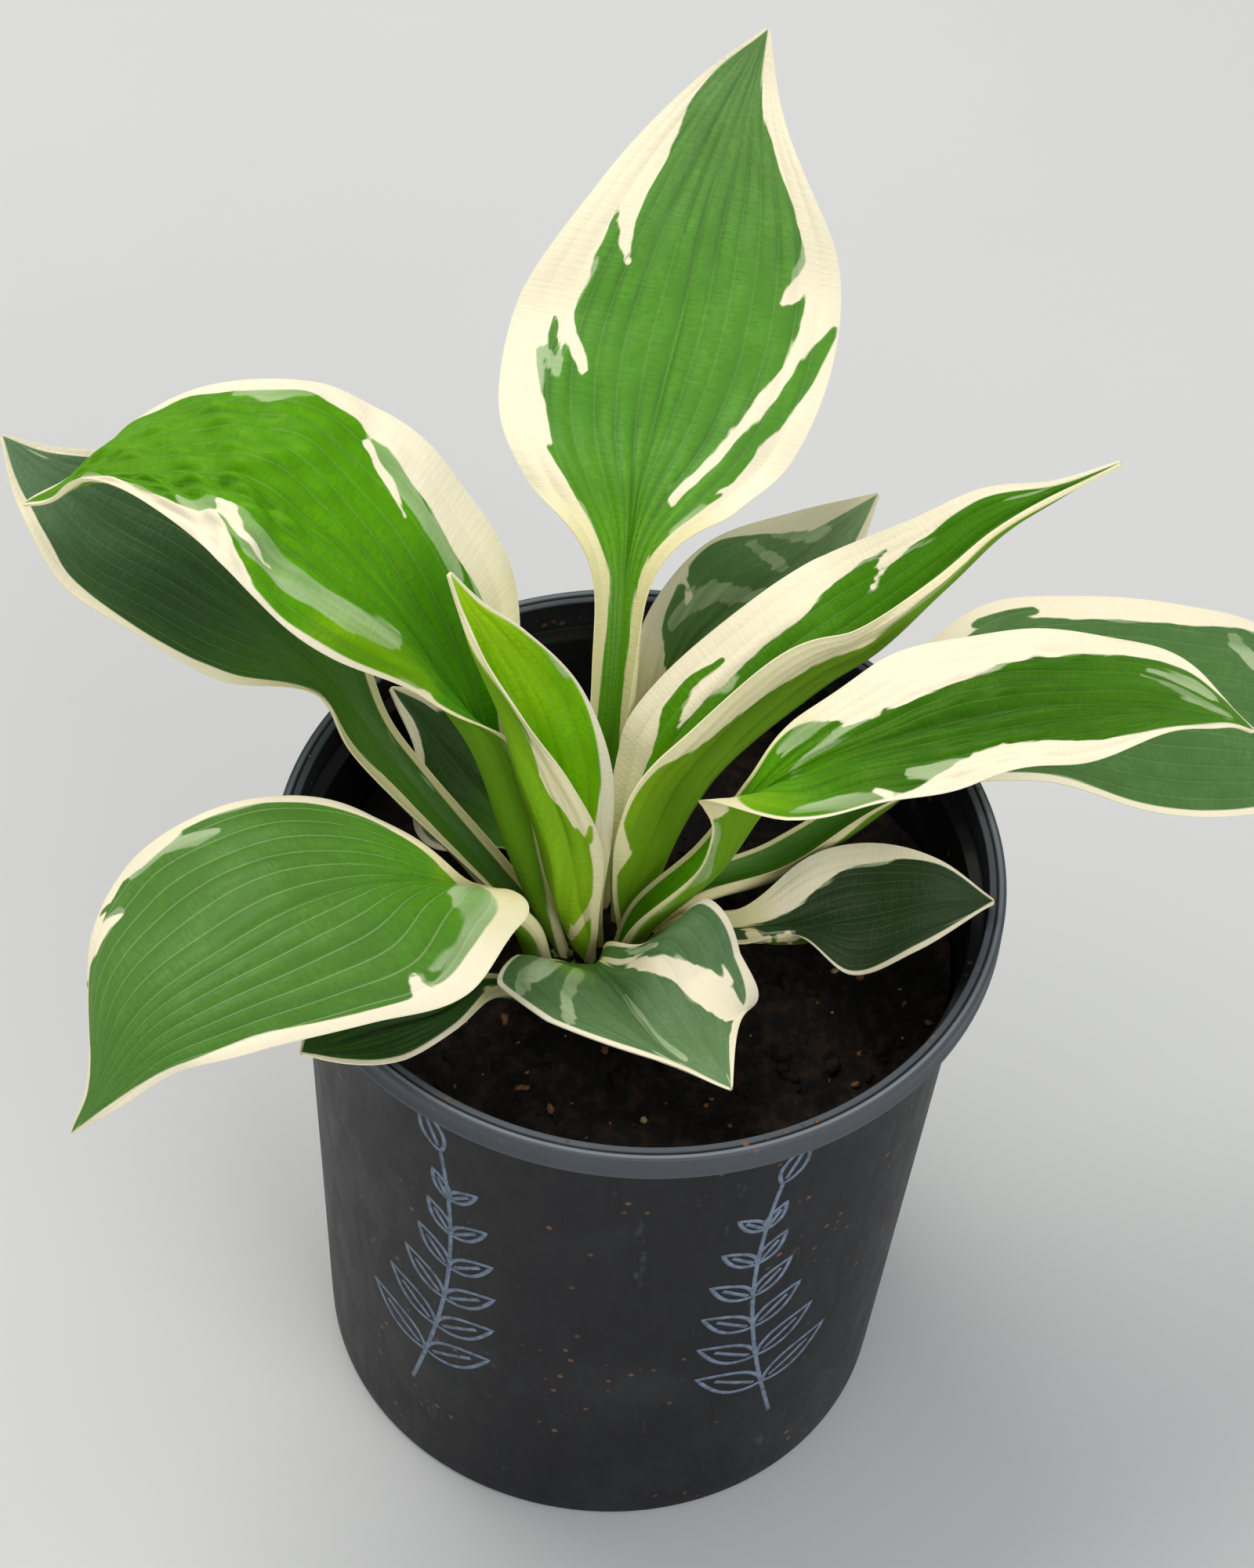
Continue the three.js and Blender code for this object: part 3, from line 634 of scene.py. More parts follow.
        "young": True, "tints": ((110, 150, 20), (120, 165, 10), (130, 172, 20)),
    },
}
print(sum(len(pattern.get("strokes", ())) for pattern in PATTERNS.values()), "strokes")

# %% [markdown]
# The stations are joined by a smooth curve through them, the Catmull-Rom spline of the solid
# model. The upper side of the leaf is carried along the midrib without twisting, so a frame of
# three directions goes with every place on it: along, upward and rightward.

# %% Leaves: the curve and the frame along it
CARRY_STEPS = 10
STALK_RISE = 0.3
SMALL_STEP = 0.001


def smooth_curve(rows, places):
    """Rows of numbers as one smooth curve, read at places counted in rows."""
    rows = np.array(rows, float)
    padded = np.vstack([2 * rows[0] - rows[1], rows, 2 * rows[-1] - rows[-2]])
    first = np.clip(np.floor(places).astype(int), 0, len(rows) - 2)
    share = (places - first)[:, None]
    before, start, end, after = (padded[first + k] for k in range(4))
    leave = (end - before) / 2
    arrive = (after - start) / 2
    square = -3 * start + 3 * end - 2 * leave - arrive
    cube = 2 * start - 2 * end + leave + arrive
    return start + leave * share + square * share**2 + cube * share**3


def unit(vectors):
    return vectors / np.linalg.norm(vectors, axis=-1, keepdims=True)


def directions(midrib, places):
    """The directions of growth: each stalk leaves the crown straight up."""
    last = len(midrib) - 1
    ahead = smooth_curve(midrib, np.minimum(places + SMALL_STEP, last))
    behind = smooth_curve(midrib, np.maximum(places - SMALL_STEP, 0))
    share = np.clip(places / STALK_RISE, 0, 1)[:, None]
    return unit((1 - share) * np.array([0, 0, 1.0]) + share * unit(ahead - behind))


def frames_along(leaf, places):
    """Along, upward and rightward at each place."""
    midrib = np.array(leaf["stations"], float)[:, :3]
    steps = np.linspace(0, len(midrib) - 1, (len(midrib) - 1) * CARRY_STEPS + 1)
    x, y = midrib[0, :2] - midrib[-1, :2]
    bearing = math.atan2(y, x) + math.radians(leaf.get("turn", 0))
    side = np.array([math.cos(bearing), math.sin(bearing), 0])
    carried = []
    for along in directions(midrib, steps):
        side = unit(side - side.dot(along) * along)
        carried.append(side)
    along = directions(midrib, places)
    upward = np.stack([np.interp(places, steps, column) for column in np.transpose(carried)], 1)
    upward = unit(upward - (upward * along).sum(1)[:, None] * along)
    return along, upward, np.cross(along, upward)


# %% [markdown]
# Across the leaf each half is an arc that starts at the midrib with its tilt and curls towards
# its edge. Basal lobes reach back past the stalk, and the edges wave. On this form lie the
# things that make the surface of a hosta leaf: the veins are sunk, the blade stands up between
# them in long soft ridges, which in a young leaf break up into rows of puckers, and broad folds
# and swells run through all of it. The veins leave the midrib one after the other near the
# stalk and meet again in the point, so they are counted by a power of the way across that grows
# to 1 in the first half of the leaf.

# %% Leaves: the form of the surface
STALK_FOLD = 50
OPENING = (-0.5, 1.0)
LOBE_REACH = 2.5
LEAST_HALF_WIDTH = 0.5
BLADE = 0.9
EDGE_SHARE = 0.35
EDGE_FROM = 0.75
RIB_DEPTH = 2.7
RIB_SHARE = 0.6
RIB_REACH = 4.5
VEINS = 7
VEIN_SPACING = 4.5
RIDGE = {"height": 0.3, "mean": 0.6, "roundness": 0.7, "full_width": 12}
SWELL = {"height": 0.35, "length": 26}
FOLD = {"height": 0.25, "length": 11, "slowness": 0.25}
PUCKER = {"height": 0.08, "from": 0.1, "to": 0.9, "fade": 0.1, "length": 9, "row": 13.7}
MIDRIB_GROOVE = (0.7, 1.3)


def soft_step(value, low, high):
    share = np.clip((value - low) / (high - low), 0, 1)
    return share * share * (3 - 2 * share)


def ripple(x, y, length, rng, waves=9):
    """A smooth random surface between about -1 and 1 with humps of some length."""
    total = np.zeros_like(x)
    for _ in range(waves):
        bearing, phase = rng.uniform(0, 2 * math.pi, 2)
        size = length * rng.uniform(0.75, 1.4)
        across = x * math.cos(bearing) + y * math.sin(bearing)
        total += np.sin(2 * math.pi * across / size + phase)
    return total / math.sqrt(waves)


class Leaf:
    """The places of a leaf's vertices and what each of them needs to be formed and painted."""

    def __init__(self, leaf, places, shares, rng):
        stations = np.array(leaf["stations"], float)
        self.last = len(stations) - 1
        self.place = places
        self.share = np.abs(shares)
        self.sign = np.sign(shares)
        self.half = (shares > 0).astype(int)
        self.grown = np.clip((places - leaf["stem"]) / (self.last - leaf["stem"]), 0, 1)
        self.opened = soft_step(places, leaf["stem"] + OPENING[0], leaf["stem"] + OPENING[1])
        self.middle = smooth_curve(stations[:, :3], places)
        self.along, self.upward, self.rightward = frames_along(leaf, places)
        widths = np.maximum(smooth_curve(stations[:, 3:5], places), LEAST_HALF_WIDTH)
        tilts = np.radians(smooth_curve(stations[:, 5:7], places))
        pick = np.arange(len(places))
        self.width = widths[pick, self.half]
        self.tilt = tilts[pick, self.half]
        self.length_to = self.lengths(stations)
        self.length = np.interp(places, *self.length_to)
        power = 0.5 + 0.5 * soft_step(self.grown, 0, 0.5)
        self.vein = VEINS * self.share**power
        self.rng = rng
        self.leaf = leaf

    def lengths(self, stations):
        """The length along the midrib, as two lists to read it from by place."""
        fine = np.linspace(0, self.last, self.last * CARRY_STEPS + 1)
        points = smooth_curve(stations[:, :3], fine)
        steps = np.linalg.norm(np.diff(points, axis=0), axis=1)
        return fine, np.concatenate([[0], np.cumsum(steps)])

    def relief(self):
        """How far the surface stands above the plain form, in millimetres."""
        leaf = self.leaf
        flat_y = self.sign * self.share * self.width
        ridge = np.abs(np.sin(math.pi * self.vein)) ** RIDGE["roundness"]
        reach = self.opened * (1 - self.grown**3) * (1 - self.share**6)
        height = leaf.get("ridge", RIDGE["height"]) * (ridge - RIDGE["mean"])
        height = height * np.minimum(1, self.width / RIDGE["full_width"])
        swell = SWELL["height"] * ripple(self.length, flat_y, SWELL["length"], self.rng)
        usual = (PUCKER["height"], PUCKER["from"], PUCKER["to"])
        pucker_height, low, high = leaf.get("pucker", usual)
        fade = PUCKER["fade"]
        region = soft_step(self.grown, low - fade, low + fade)
        region = region * (1 - soft_step(self.grown, high - fade, high + fade))
        row = self.sign * np.floor(self.vein) * PUCKER["row"]
        humps = ripple(self.length, row, PUCKER["length"], self.rng)
        pucker = pucker_height * humps * ridge * region
        across = self.sign * self.vein * VEIN_SPACING
        folds = ripple(self.length * FOLD["slowness"], across, FOLD["length"], self.rng)
        folds = leaf.get("folds", FOLD["height"]) * folds
        groove_depth, groove_reach = MIDRIB_GROOVE
        groove = groove_depth * np.exp(-((flat_y / groove_reach) ** 2)) * (1 - self.grown)
        return reach * (height + swell + pucker + folds) - groove * self.opened

    def surfaces(self):
        """The vertices of the upper face and of the lower face, in millimetres."""
        leaf = self.leaf
        curls = np.radians(np.array(leaf["curl"], float))[self.half]
        curl = curls * self.opened + math.radians(STALK_FOLD) * (1 - self.opened)
        curl = np.where(np.abs(curl) < SMALL_STEP, SMALL_STEP, curl)
        slope = self.tilt + curl * self.share
        across = self.width * (np.sin(slope) - np.sin(self.tilt)) / curl
        lift = self.width * (np.cos(self.tilt) - np.cos(slope)) / curl
        height, count, *phases = leaf.get("wave", (0, 0, 0, 0))
        phase = np.array(phases)[self.half]
        wave = height * np.sin(2 * math.pi * (count * self.grown + phase)) * np.sin(math.pi * self.grown)
        reach = leaf.get("reach", LOBE_REACH)
        back = np.array(leaf.get("lobe", (0, 0)), float)[self.half] * self.opened
        back = back * np.exp(-(((self.place - leaf["stem"]) / reach) ** 2))
        rise = wave + leaf.get("rise", 0) * back
        spread = self.share**2
        upper = (
            self.middle
            + self.rightward * (self.sign * across)[:, None]
            + self.upward * (lift + rise * spread)[:, None]
            - self.along * (back * spread)[:, None]
        )
        lean = self.sign * slope
        outward = self.upward * np.cos(lean)[:, None] - self.rightward * np.sin(lean)[:, None]
        rib = np.minimum(RIB_DEPTH, RIB_SHARE * self.width) * (1 - self.grown)
        rib = rib * np.maximum(0, 1 - (self.share * self.width / RIB_REACH) ** 2)
        thin = 1 - (1 - EDGE_SHARE) * soft_step(self.share, EDGE_FROM, 1)
        upper = upper + outward * self.relief()[:, None]
        lower = upper - outward * (BLADE * thin + rib)[:, None]
        return upper, lower


# %% [markdown]
# The pattern is worked out as a distance in millimetres on the leaf laid flat: above zero in
# the cream, below zero in the green. The margins give it first, then each stroke adds cream or
# takes it away. Two more distances do the same for the grey-green patches, where only one layer
# of the leaf has lost its green, and for the bright green. The finish breaks the edges of the
# cream and of the patches up along the veins.

# %% Leaves: the pattern
FAR = 30.0


def stroke_field(form, stroke):
    """How far each vertex lies inside a stroke, in millimetres."""
    widths = np.array([row[3:5] for row in form.leaf["stations"]], float)
    points = []
    for place, share, reach in stroke:
        half_width = smooth_curve(widths, np.array([place]))[0, int(share > 0)]
        points.append((np.interp(place, *form.length_to), share * half_width, reach))
    flat = np.stack([form.length, form.sign * form.share * form.width], 1)
    best = np.full(len(flat), -FAR)
    for start, end in zip(points, points[1:]):
        start, end = np.array(start), np.array(end)
        step = (end - start)[:2]
        share = np.clip(((flat - start[:2]) @ step) / step.dot(step), 0, 1)
        nearest = start[:2] + share[:, None] * step
        reach = start[2] + share * (end[2] - start[2])
        best = np.maximum(best, reach - np.linalg.norm(flat - nearest, axis=1))
    return best


def pattern_fields(form, pattern):
    """The distances into the cream, the grey-green patches and the bright green."""
    margins = np.array(pattern["margins"], float).T
    pick = np.arange(len(form.place))
    margin = smooth_curve(margins, form.place)[pick, form.half]
    cream = margin - (1 - form.share) * form.width
    others = {kind: np.full(len(form.place), -FAR) for kind in ("pale", "bright")}
    for kind, *stroke in pattern.get("strokes", ()):
        field = stroke_field(form, stroke)
        if kind == "cream":
            cream = np.maximum(cream, field)
        elif kind == "green":
            cream = np.minimum(cream, -field)
        else:
            others[kind] = np.maximum(others[kind], field)
    return cream, others["pale"], others["bright"]


# %% [markdown]
# The finish of a leaf reads these distances. Noise that is stretched along the veins is added
# to them before they become edges, so the cream ends in fingers and streaks. The veins show as
# thin lighter lines, and painted shade darkens the sunken veins around them. The green changes
# from the stalk to the tip. The underside is paler and yellower, partly its own colour and
# partly painted light that shines through the leaf, and its cream is painted brighter for the
# same light. The surface is waxy: a soft gloss, broken by fine cross-veins in the bump. All
# stretches are for the grain, which counts millimetres along the leaf, veins across it and a
# number of the leaf's own.

# %% Leaves: the finish
CREAM = colour(239, 227, 196)
CREAM_BASE = colour(222, 211, 158)
# Cream on the underside is painted brighter and warmer: painted light shining through the leaf.
CREAM_UNDER_LIT = colour(252, 238, 184)
# Bright green: partly the leaves' own, partly painted glow of light shining through them.
BRIGHT_GLOW = colour(148, 190, 0)
VEIN = colour(176, 202, 132)
# The colour of the painted shade in the sunken veins.
VALLEY_SHADE = colour(160, 190, 130)
GREY_GREEN = colour(190, 204, 160)
# The underside's green is partly its own paler colour and partly painted light shining through.
UNDERSIDE_LIT = colour(142, 176, 44)
DULLER = (0.76, 0.82, 0.72, 1)
PLAIN_GLOSS = colour(255, 255, 255)
YOUNG_GLOSS = colour(240, 255, 150)
FIELDS = ("grown", "cream", "pale", "bright", "rough", "under", "vein")
FINGERS = {"stretch": (0.06, 1.1, 1), "reach": 3.6, "pale_reach": 4.0}
FRAYS = {"stretch": (0.22, 3, 1), "reach": 1.0}
PATCHES = {"stretch": (0.045, 0.45, 1), "reach": 12.0, "middle": 0.6}
STREAKS = (0.03, 0.9, 1)
MOTTLE = (0.11, 0.9, 1)
PEBBLES = (0.9, 2.6, 1)
CROSS_VEINS = (1.1, 0.5, 1)


def leaf_finish(name, pattern):
    paint = Finish(name)
    stalk, middle, tip = (colour(*tint) for tint in pattern["tints"])
    grain = paint.attribute("grain", "Vector")
    grown, cream, pale, bright, rough, under, vein = (paint.attribute(kind) for kind in FIELDS)

    def grain_noise(stretch, detail):
        return paint.noise(paint.stretch(grain, stretch), 1.0, detail=detail)

    fingers = grain_noise(FINGERS["stretch"], 1)
    frays = grain_noise(FRAYS["stretch"], 1)
    patches = grain_noise(PATCHES["stretch"], 1)
    uneven = paint.shifted(0.0, fingers, FINGERS["reach"])
    uneven = paint.shifted(uneven, frays, FRAYS["reach"])
    edge = paint.calc("MULTIPLY_ADD", uneven, rough, cream)
    in_cream = paint.step(edge, -0.25, 0.25)
    band = paint.shifted(edge, patches, PATCHES["reach"], PATCHES["middle"])
    ragged = paint.shifted(pale, fingers, FINGERS["pale_reach"])
    in_pale = paint.step(paint.calc("MAXIMUM", band, ragged), -0.3, 0.3)

    green = paint.mix(paint.step(grown, 0.02, 0.35), stalk, middle)
    green = paint.mix(paint.step(grown, 0.45, 1.0), green, tip)
    # Bright green, partly the leaf's own and partly painted glow of light shining through it.
    green = paint.mix(paint.times(paint.step(bright, -5.0, 3.0), 0.5), green, BRIGHT_GLOW)
    duller = paint.mix(1.0, green, DULLER, "MULTIPLY")
    mottle = grain_noise(MOTTLE, 4)
    green = paint.mix(paint.step(mottle, 0.3, 0.7), green, duller)
    green = paint.mix(paint.step(grain_noise(PEBBLES, 2), 0.35, 0.75), green, duller)

    to_vein = paint.calc("PINGPONG", vein, 0.5)
    # Painted shade darkens the sunken veins, in patches.
    valley_shade = paint.times(paint.fade(to_vein, 0.0, 0.34), paint.step(patches, 0.35, 0.65))
    valley_shade = paint.times(valley_shade, pattern.get("valley_shading", 0.2))
    green = paint.mix(valley_shade, green, paint.mix(1.0, green, VALLEY_SHADE, "MULTIPLY"))
    vein_line = paint.times(paint.fade(to_vein, 0.0, 0.07), pattern.get("veins", 0.1))
    green = paint.mix(vein_line, green, VEIN)
    # The underside is painted paler and yellower: partly its own colour, partly painted light shining
    # through.
    green = paint.mix(paint.times(under, 0.4), green, UNDERSIDE_LIT)

    faded = paint.step(grain_noise(STREAKS, 3), 0.35, 0.65)
    faded = paint.calc("MULTIPLY_ADD", faded, 0.34, 0.3)
    tone = paint.mix(in_pale, green, paint.mix(faded, green, GREY_GREEN))
    warm = paint.mix(paint.step(grown, 0.0, 0.25), CREAM_BASE, CREAM)
    # Cream on the underside is painted brighter: painted light shining through.
    warm = paint.mix(paint.times(under, 0.7), warm, CREAM_UNDER_LIT)
    paint.put("Base Color", paint.mix(in_cream, tone, warm))

    cells = paint.noise(paint.object_place(), 1500, detail=3)
    height = paint.calc("MULTIPLY_ADD", grain_noise(CROSS_VEINS, 2), 0.6, paint.times(cells, 0.4))
    height = paint.calc("SUBTRACT", height, paint.times(vein_line, 1.2))
    paint.bump(height, 0.5, 0.0005)
    paint.put("Roughness", paint.calc("MULTIPLY_ADD", mottle, 0.2, 0.42))
    gloss = YOUNG_GLOSS if pattern.get("young", False) else PLAIN_GLOSS
    paint.put("Specular Tint", paint.mix(in_cream, gloss, PLAIN_GLOSS))
    paint.put("Specular IOR Level", 0.28)
    paint.put("Subsurface Weight", 0.12)
    paint.put("Subsurface Radius", (0.9, 1.2, 0.25))
    paint.put("Subsurface Scale", 0.0012)
    return paint.made


# %% [markdown]
# Each leaf starts as a flat grid. Its faces are extruded once for the lower face and the rim,
# and then every vertex is carried from the grid to its place on the leaf. That mirrors the
# sheet, so its faces are turned round again. The grid has enough columns for the ridges between
# seven veins on each side.

# %% Leaves: made
ROWS_PER_STATION = 12
COLUMNS = 96
ROUGH_FROM = (1, 7)
HALVES_APART = 2.0
LEAVES_APART = 7.3


def flat_sheet(rows, columns):
    """A closed flat sheet from -1 to 1 both ways, with its lower face at z = -1."""
    bm = bmesh.new()
    bmesh.ops.create_grid(bm, x_segments=rows, y_segments=columns, size=1)
    sheet = bmesh.ops.extrude_face_region(bm, geom=bm.faces[:], use_keep_orig=True)
    copied = [part for part in sheet["geom"] if isinstance(part, bmesh.types.BMVert)]
    bmesh.ops.translate(bm, verts=copied, vec=(0, 0, -1))
    bmesh.ops.recalc_face_normals(bm, faces=bm.faces[:])
    for edge in bm.edges:
        levels = {round(face.calc_center_median().z, 1) for face in edge.link_faces}
        edge.smooth = len(levels) == 1
    return bm


def add_attribute(mesh, name, values, kind="FLOAT"):
    layer = mesh.attributes.new(name, kind, "POINT")
    field = "value" if kind == "FLOAT" else "vector"
    layer.data.foreach_set(field, values.astype(np.float32).ravel())


def make_leaf(name, number):
    leaf = LEAVES[name]
    rng = np.random.default_rng(number)
    last = len(leaf["stations"]) - 1
    sheet = flat_sheet(last * ROWS_PER_STATION, COLUMNS)
    paint = leaf_finish(name, PATTERNS[name])
    piece = finished(name + "_fine", sheet, paint, name)
    mesh = piece.data
    flat = np.empty(len(mesh.vertices) * 3)
    mesh.vertices.foreach_get("co", flat)
    lengthwise, crosswise, level = flat.reshape(-1, 3).T
    form = Leaf(leaf, (lengthwise + 1) / 2 * last, crosswise, rng)
    upper, lower = form.surfaces()
    is_lower = level < -0.5
    places = np.where(is_lower[:, None], lower, upper)
    mesh.vertices.foreach_set("co", (places * MM).ravel())
    mesh.flip_normals()
    cream, pale, bright = pattern_fields(form, PATTERNS[name])
    rough = soft_step((1 - form.share) * form.width, *ROUGH_FROM)
    fields = (form.grown, cream, pale, bright, rough, is_lower.astype(float), form.vein)
    for field, values in zip(FIELDS, fields):
        add_attribute(mesh, field, values)
    signed_vein = form.sign * (form.vein + HALVES_APART)
    own = np.full(len(places), number * LEAVES_APART)
    grain = np.stack([form.length, signed_vein, own], 1)
    add_attribute(mesh, "grain", grain, "FLOAT_VECTOR")
    mesh.update()
    return piece


for leaf_number, leaf_name in enumerate(LEAVES, 1):
    made_leaf = make_leaf(leaf_name, leaf_number)
    print(made_leaf.name, len(made_leaf.data.polygons), "faces")

# %% [markdown]
# The pot is a thin moulded shell, so one profile turned about the Z axis makes all of it: the
# foot with a raised ring in its floor, the tapered wall, the rim band with its rounded corners
# and the ledge inside for stacking. Small arcs round the corners, which is what catches the
# light on moulded plastic. The six drain holes are cut afterwards.

# %% Pot: its sizes
POT_HEIGHT = 169
RIM_OUTER_R = 82.5
RIM_INNER_R = 78.5
RIM_FOOT = 162
RIM_GROOVE = 80.4
# The radius of a painted highlight line on the rim's top, near its outer corner.
RIM_HIGHLIGHT_R = 81.3
LEDGE = 160
WALL_TOP = (76.5, 158.8)
FOOT_R = 67.5
TAPER = (WALL_TOP[0] - FOOT_R) / WALL_TOP[1]
WALL = 1.8
POT_FLOOR = 2
RAISED_RING = [(0, 0), (18, 0), (22, 3), (56, 3), (60, 0)]
DRAINS = {"count": 6, "r": 5, "ring": 40, "depth": 30}
POT_STEPS = 160


def floor_at(level):
    """A floor with the raised ring in it, from the axis outwards."""
    return [(r, level + rise) for r, rise in RAISED_RING]


def corner(centre, radius, start, end, steps=5):
    """Points of a round corner in the profile, from one bearing to another in degrees."""
    bearings = np.radians(np.linspace(start, end, steps))
    return [(centre[0] + radius * math.cos(b), centre[1] + radius * math.sin(b)) for b in bearings]


POT_PROFILE = [
    *floor_at(0),
    *corner((FOOT_R - 1.5, 1.5), 1.5, -90, -3),
    (FOOT_R + 0.4, 7),
    *[(FOOT_R + TAPER * z, z) for z in range(20, 158, 12)],
    WALL_TOP,
    (78.4, 160.6),
    *corner((RIM_OUTER_R - 0.7, RIM_FOOT + 0.7), 0.7, -70, 0),
    (RIM_OUTER_R, RIM_FOOT + 1.5),
    (RIM_OUTER_R - 0.35, RIM_FOOT + 2.1),
    (RIM_OUTER_R - 0.35, POT_HEIGHT - 2),
    *corner((RIM_OUTER_R - 0.9, POT_HEIGHT - 0.9), 0.9, 0, 90, 7),
    (RIM_GROOVE + 0.6, POT_HEIGHT - 0.05),
    (RIM_GROOVE, POT_HEIGHT - 0.4),
    (RIM_GROOVE - 0.6, POT_HEIGHT - 0.1),
    *corner((RIM_INNER_R + 0.6, POT_HEIGHT - 0.7), 0.6, 90, 180),
    (RIM_INNER_R, LEDGE + 0.8),
    (RIM_INNER_R - 0.3, LEDGE + 0.3),
    (RIM_INNER_R - 2.9, LEDGE - 0.6),
    (RIM_INNER_R - 3.2, LEDGE - 1.2),
    (FOOT_R - WALL, POT_FLOOR),
    *reversed(floor_at(POT_FLOOR)),
]
print(len(POT_PROFILE), "points in the pot's profile")

# %% [markdown]
# The plastic is a dull charcoal with a trace of blue. Handling has scuffed it grey where it is
# touched, and dried potting mix sticks to it as small brown specks. Light and shade are painted
# into it as well: the inside is painted darker as shade, the top of the rim lighter as the sky's
# sheen on it, with a painted highlight near its outer corner and painted shade in its groove.
# The finish tells the rim and the inside from the wall by height and by distance from the axis,
# so one finish does for the whole shell.

# %% Pot: the finish
PLASTIC = colour(18, 17, 21)
# The inside colour is painted darker than the wall: painted shade inside the pot.
PLASTIC_INSIDE_SHADE = colour(10, 10, 11)
# The rim colour is lighter than the wall: painted sheen of the sky on the rim's top.
PLASTIC_RIM_SHEEN = colour(72, 76, 81)
# A light grey for the painted highlight line on the rim.
PLASTIC_HIGHLIGHT = colour(112, 117, 122)
DUST = colour(124, 126, 128)
DRIED_MIX = colour(122, 82, 52)


def pot_finish():
    paint = Finish("nursery_plastic")
    place = paint.object_place()
    apart = paint.node("SeparateXYZ", {0: place}).outputs
    radius = paint.node("VectorMath", {0: paint.stretch(place, (1, 1, 0))}, operation="LENGTH")
    radius = radius.outputs["Value"]
    wall_here = paint.calc("MULTIPLY_ADD", apart["Z"], TAPER, (FOOT_R - WALL / 2) * MM)
    outside = paint.step(paint.calc("SUBTRACT", radius, wall_here), -0.0002, 0.0002)
    above = paint.step(apart["Z"], (RIM_FOOT - 0.8) * MM, (RIM_FOOT + 0.2) * MM)
    beyond = paint.step(radius, (RIM_INNER_R - 0.1) * MM, (RIM_INNER_R + 0.3) * MM)
    on_rim = paint.times(above, beyond)
    # A thin line near the rim's outer corner is painted lighter: a painted highlight.
    from_highlight = paint.calc("ABSOLUTE", paint.calc("SUBTRACT", radius, RIM_HIGHLIGHT_R * MM))
    on_highlight = paint.fade(from_highlight, 0.0002, 0.0006)
    # The groove in the rim is painted dark: painted shade in the recess.
    from_groove = paint.calc("ABSOLUTE", paint.calc("SUBTRACT", radius, RIM_GROOVE * MM))
    groove_shade = paint.fade(from_groove, 0.0001, 0.0005)
    cloud = paint.noise(place, 26, detail=5, roughness=0.6)
    scuff = paint.noise(paint.stretch(place, (1, 1, 0.35)), 180, detail=4, roughness=0.65)
    # The inside of the pot is painted darker: painted shade.
    tone = paint.mix(outside, PLASTIC_INSIDE_SHADE, PLASTIC)
    # The top of the rim is painted lighter, as painted sheen of the sky on it.
    rim = paint.mix(on_highlight, PLASTIC_RIM_SHEEN, PLASTIC_HIGHLIGHT)
    rim = paint.mix(groove_shade, rim, PLASTIC)
    tone = paint.mix(on_rim, tone, rim)
    tone = paint.mix(paint.times(paint.step(cloud, 0.45, 0.75), 0.06), tone, DUST)
    tone = paint.mix(paint.times(paint.step(scuff, 0.62, 0.8), 0.25), tone, DUST)
    specks = paint.node("TexVoronoi", {"Vector": place, "Scale": 240.0}).outputs["Distance"]
    where = paint.noise(place, 90, detail=2)
    speck = paint.times(paint.fade(specks, 0.10, 0.22), paint.step(where, 0.56, 0.64))
    tone = paint.mix(paint.times(speck, 0.8), tone, DRIED_MIX)
    paint.put("Base Color", tone)
    paint.put("Roughness", paint.calc("MULTIPLY_ADD", scuff, 0.3, 0.34))
    paint.put("Specular IOR Level", 0.22)
    paint.bump(paint.calc("MULTIPLY_ADD", scuff, 0.5, speck), 0.25, 0.0003)
    return paint.made


# %% [markdown]
# A spin of the profile makes the whole shell in one step and keeps its wall even all the way
# round. The holes are a boolean cut with six short cylinders, which is simpler than building
# them into the rings of the floor. Sharp corners are marked, because smooth shading would smear
# the light across them.


# %% Pot: turned and drilled
def turned(profile, steps):
    """A profile of (r, z) points in millimetres turned about the Z axis into a closed shell."""
    bm = bmesh.new()
    points = [bm.verts.new((r * MM, 0, z * MM)) for r, z in profile]
    line = points + [bm.edges.new(pair) for pair in zip(points, points[1:])]
    whole = {"steps": steps, "angle": 2 * math.pi, "use_merge": True}
    bmesh.ops.spin(bm, geom=line, axis=(0, 0, 1), cent=(0, 0, 0), **whole)
    bmesh.ops.remove_doubles(bm, verts=bm.verts[:], dist=1e-6)
    bmesh.ops.recalc_face_normals(bm, faces=bm.faces[:])
    return bm


def drilled(bm):
    """The shell with the drain holes cut out of it."""
    shell = bpy.data.meshes.new("shell")
    bm.to_mesh(shell)
    bm.free()
    drills = bmesh.new()
    r = DRAINS["r"] * MM
    drill = {"segments": 32, "radius1": r, "radius2": r, "depth": DRAINS["depth"] * MM}
    for i in range(DRAINS["count"]):
        bearing = 2 * math.pi * i / DRAINS["count"]
        middle = Vector((math.cos(bearing), math.sin(bearing), 0)) * DRAINS["ring"] * MM
        place = Matrix.Translation(middle)
        bmesh.ops.create_cone(drills, cap_ends=True, matrix=place, **drill)
    drill_mesh = bpy.data.meshes.new("drills")
    drills.to_mesh(drill_mesh)
    drills.free()
    work = [bpy.data.objects.new(mesh.name, mesh) for mesh in (shell, drill_mesh)]
    for item in work:
        bpy.context.scene.collection.objects.link(item)
    cut = work[0].modifiers.new("drain_holes", "BOOLEAN")
    cut.operation = "DIFFERENCE"
    cut.object = work[1]
    result = bmesh.new()
    result.from_mesh(work[0].evaluated_get(bpy.context.evaluated_depsgraph_get()).data)
    for item in work:
        bpy.data.objects.remove(item)
    return result


SHARP = math.radians(34)


def crease(bm):
    """Keeps corners sharper than SHARP crisp under smooth shading."""
    for edge in bm.edges:
        edge.smooth = edge.calc_face_angle(0) < SHARP


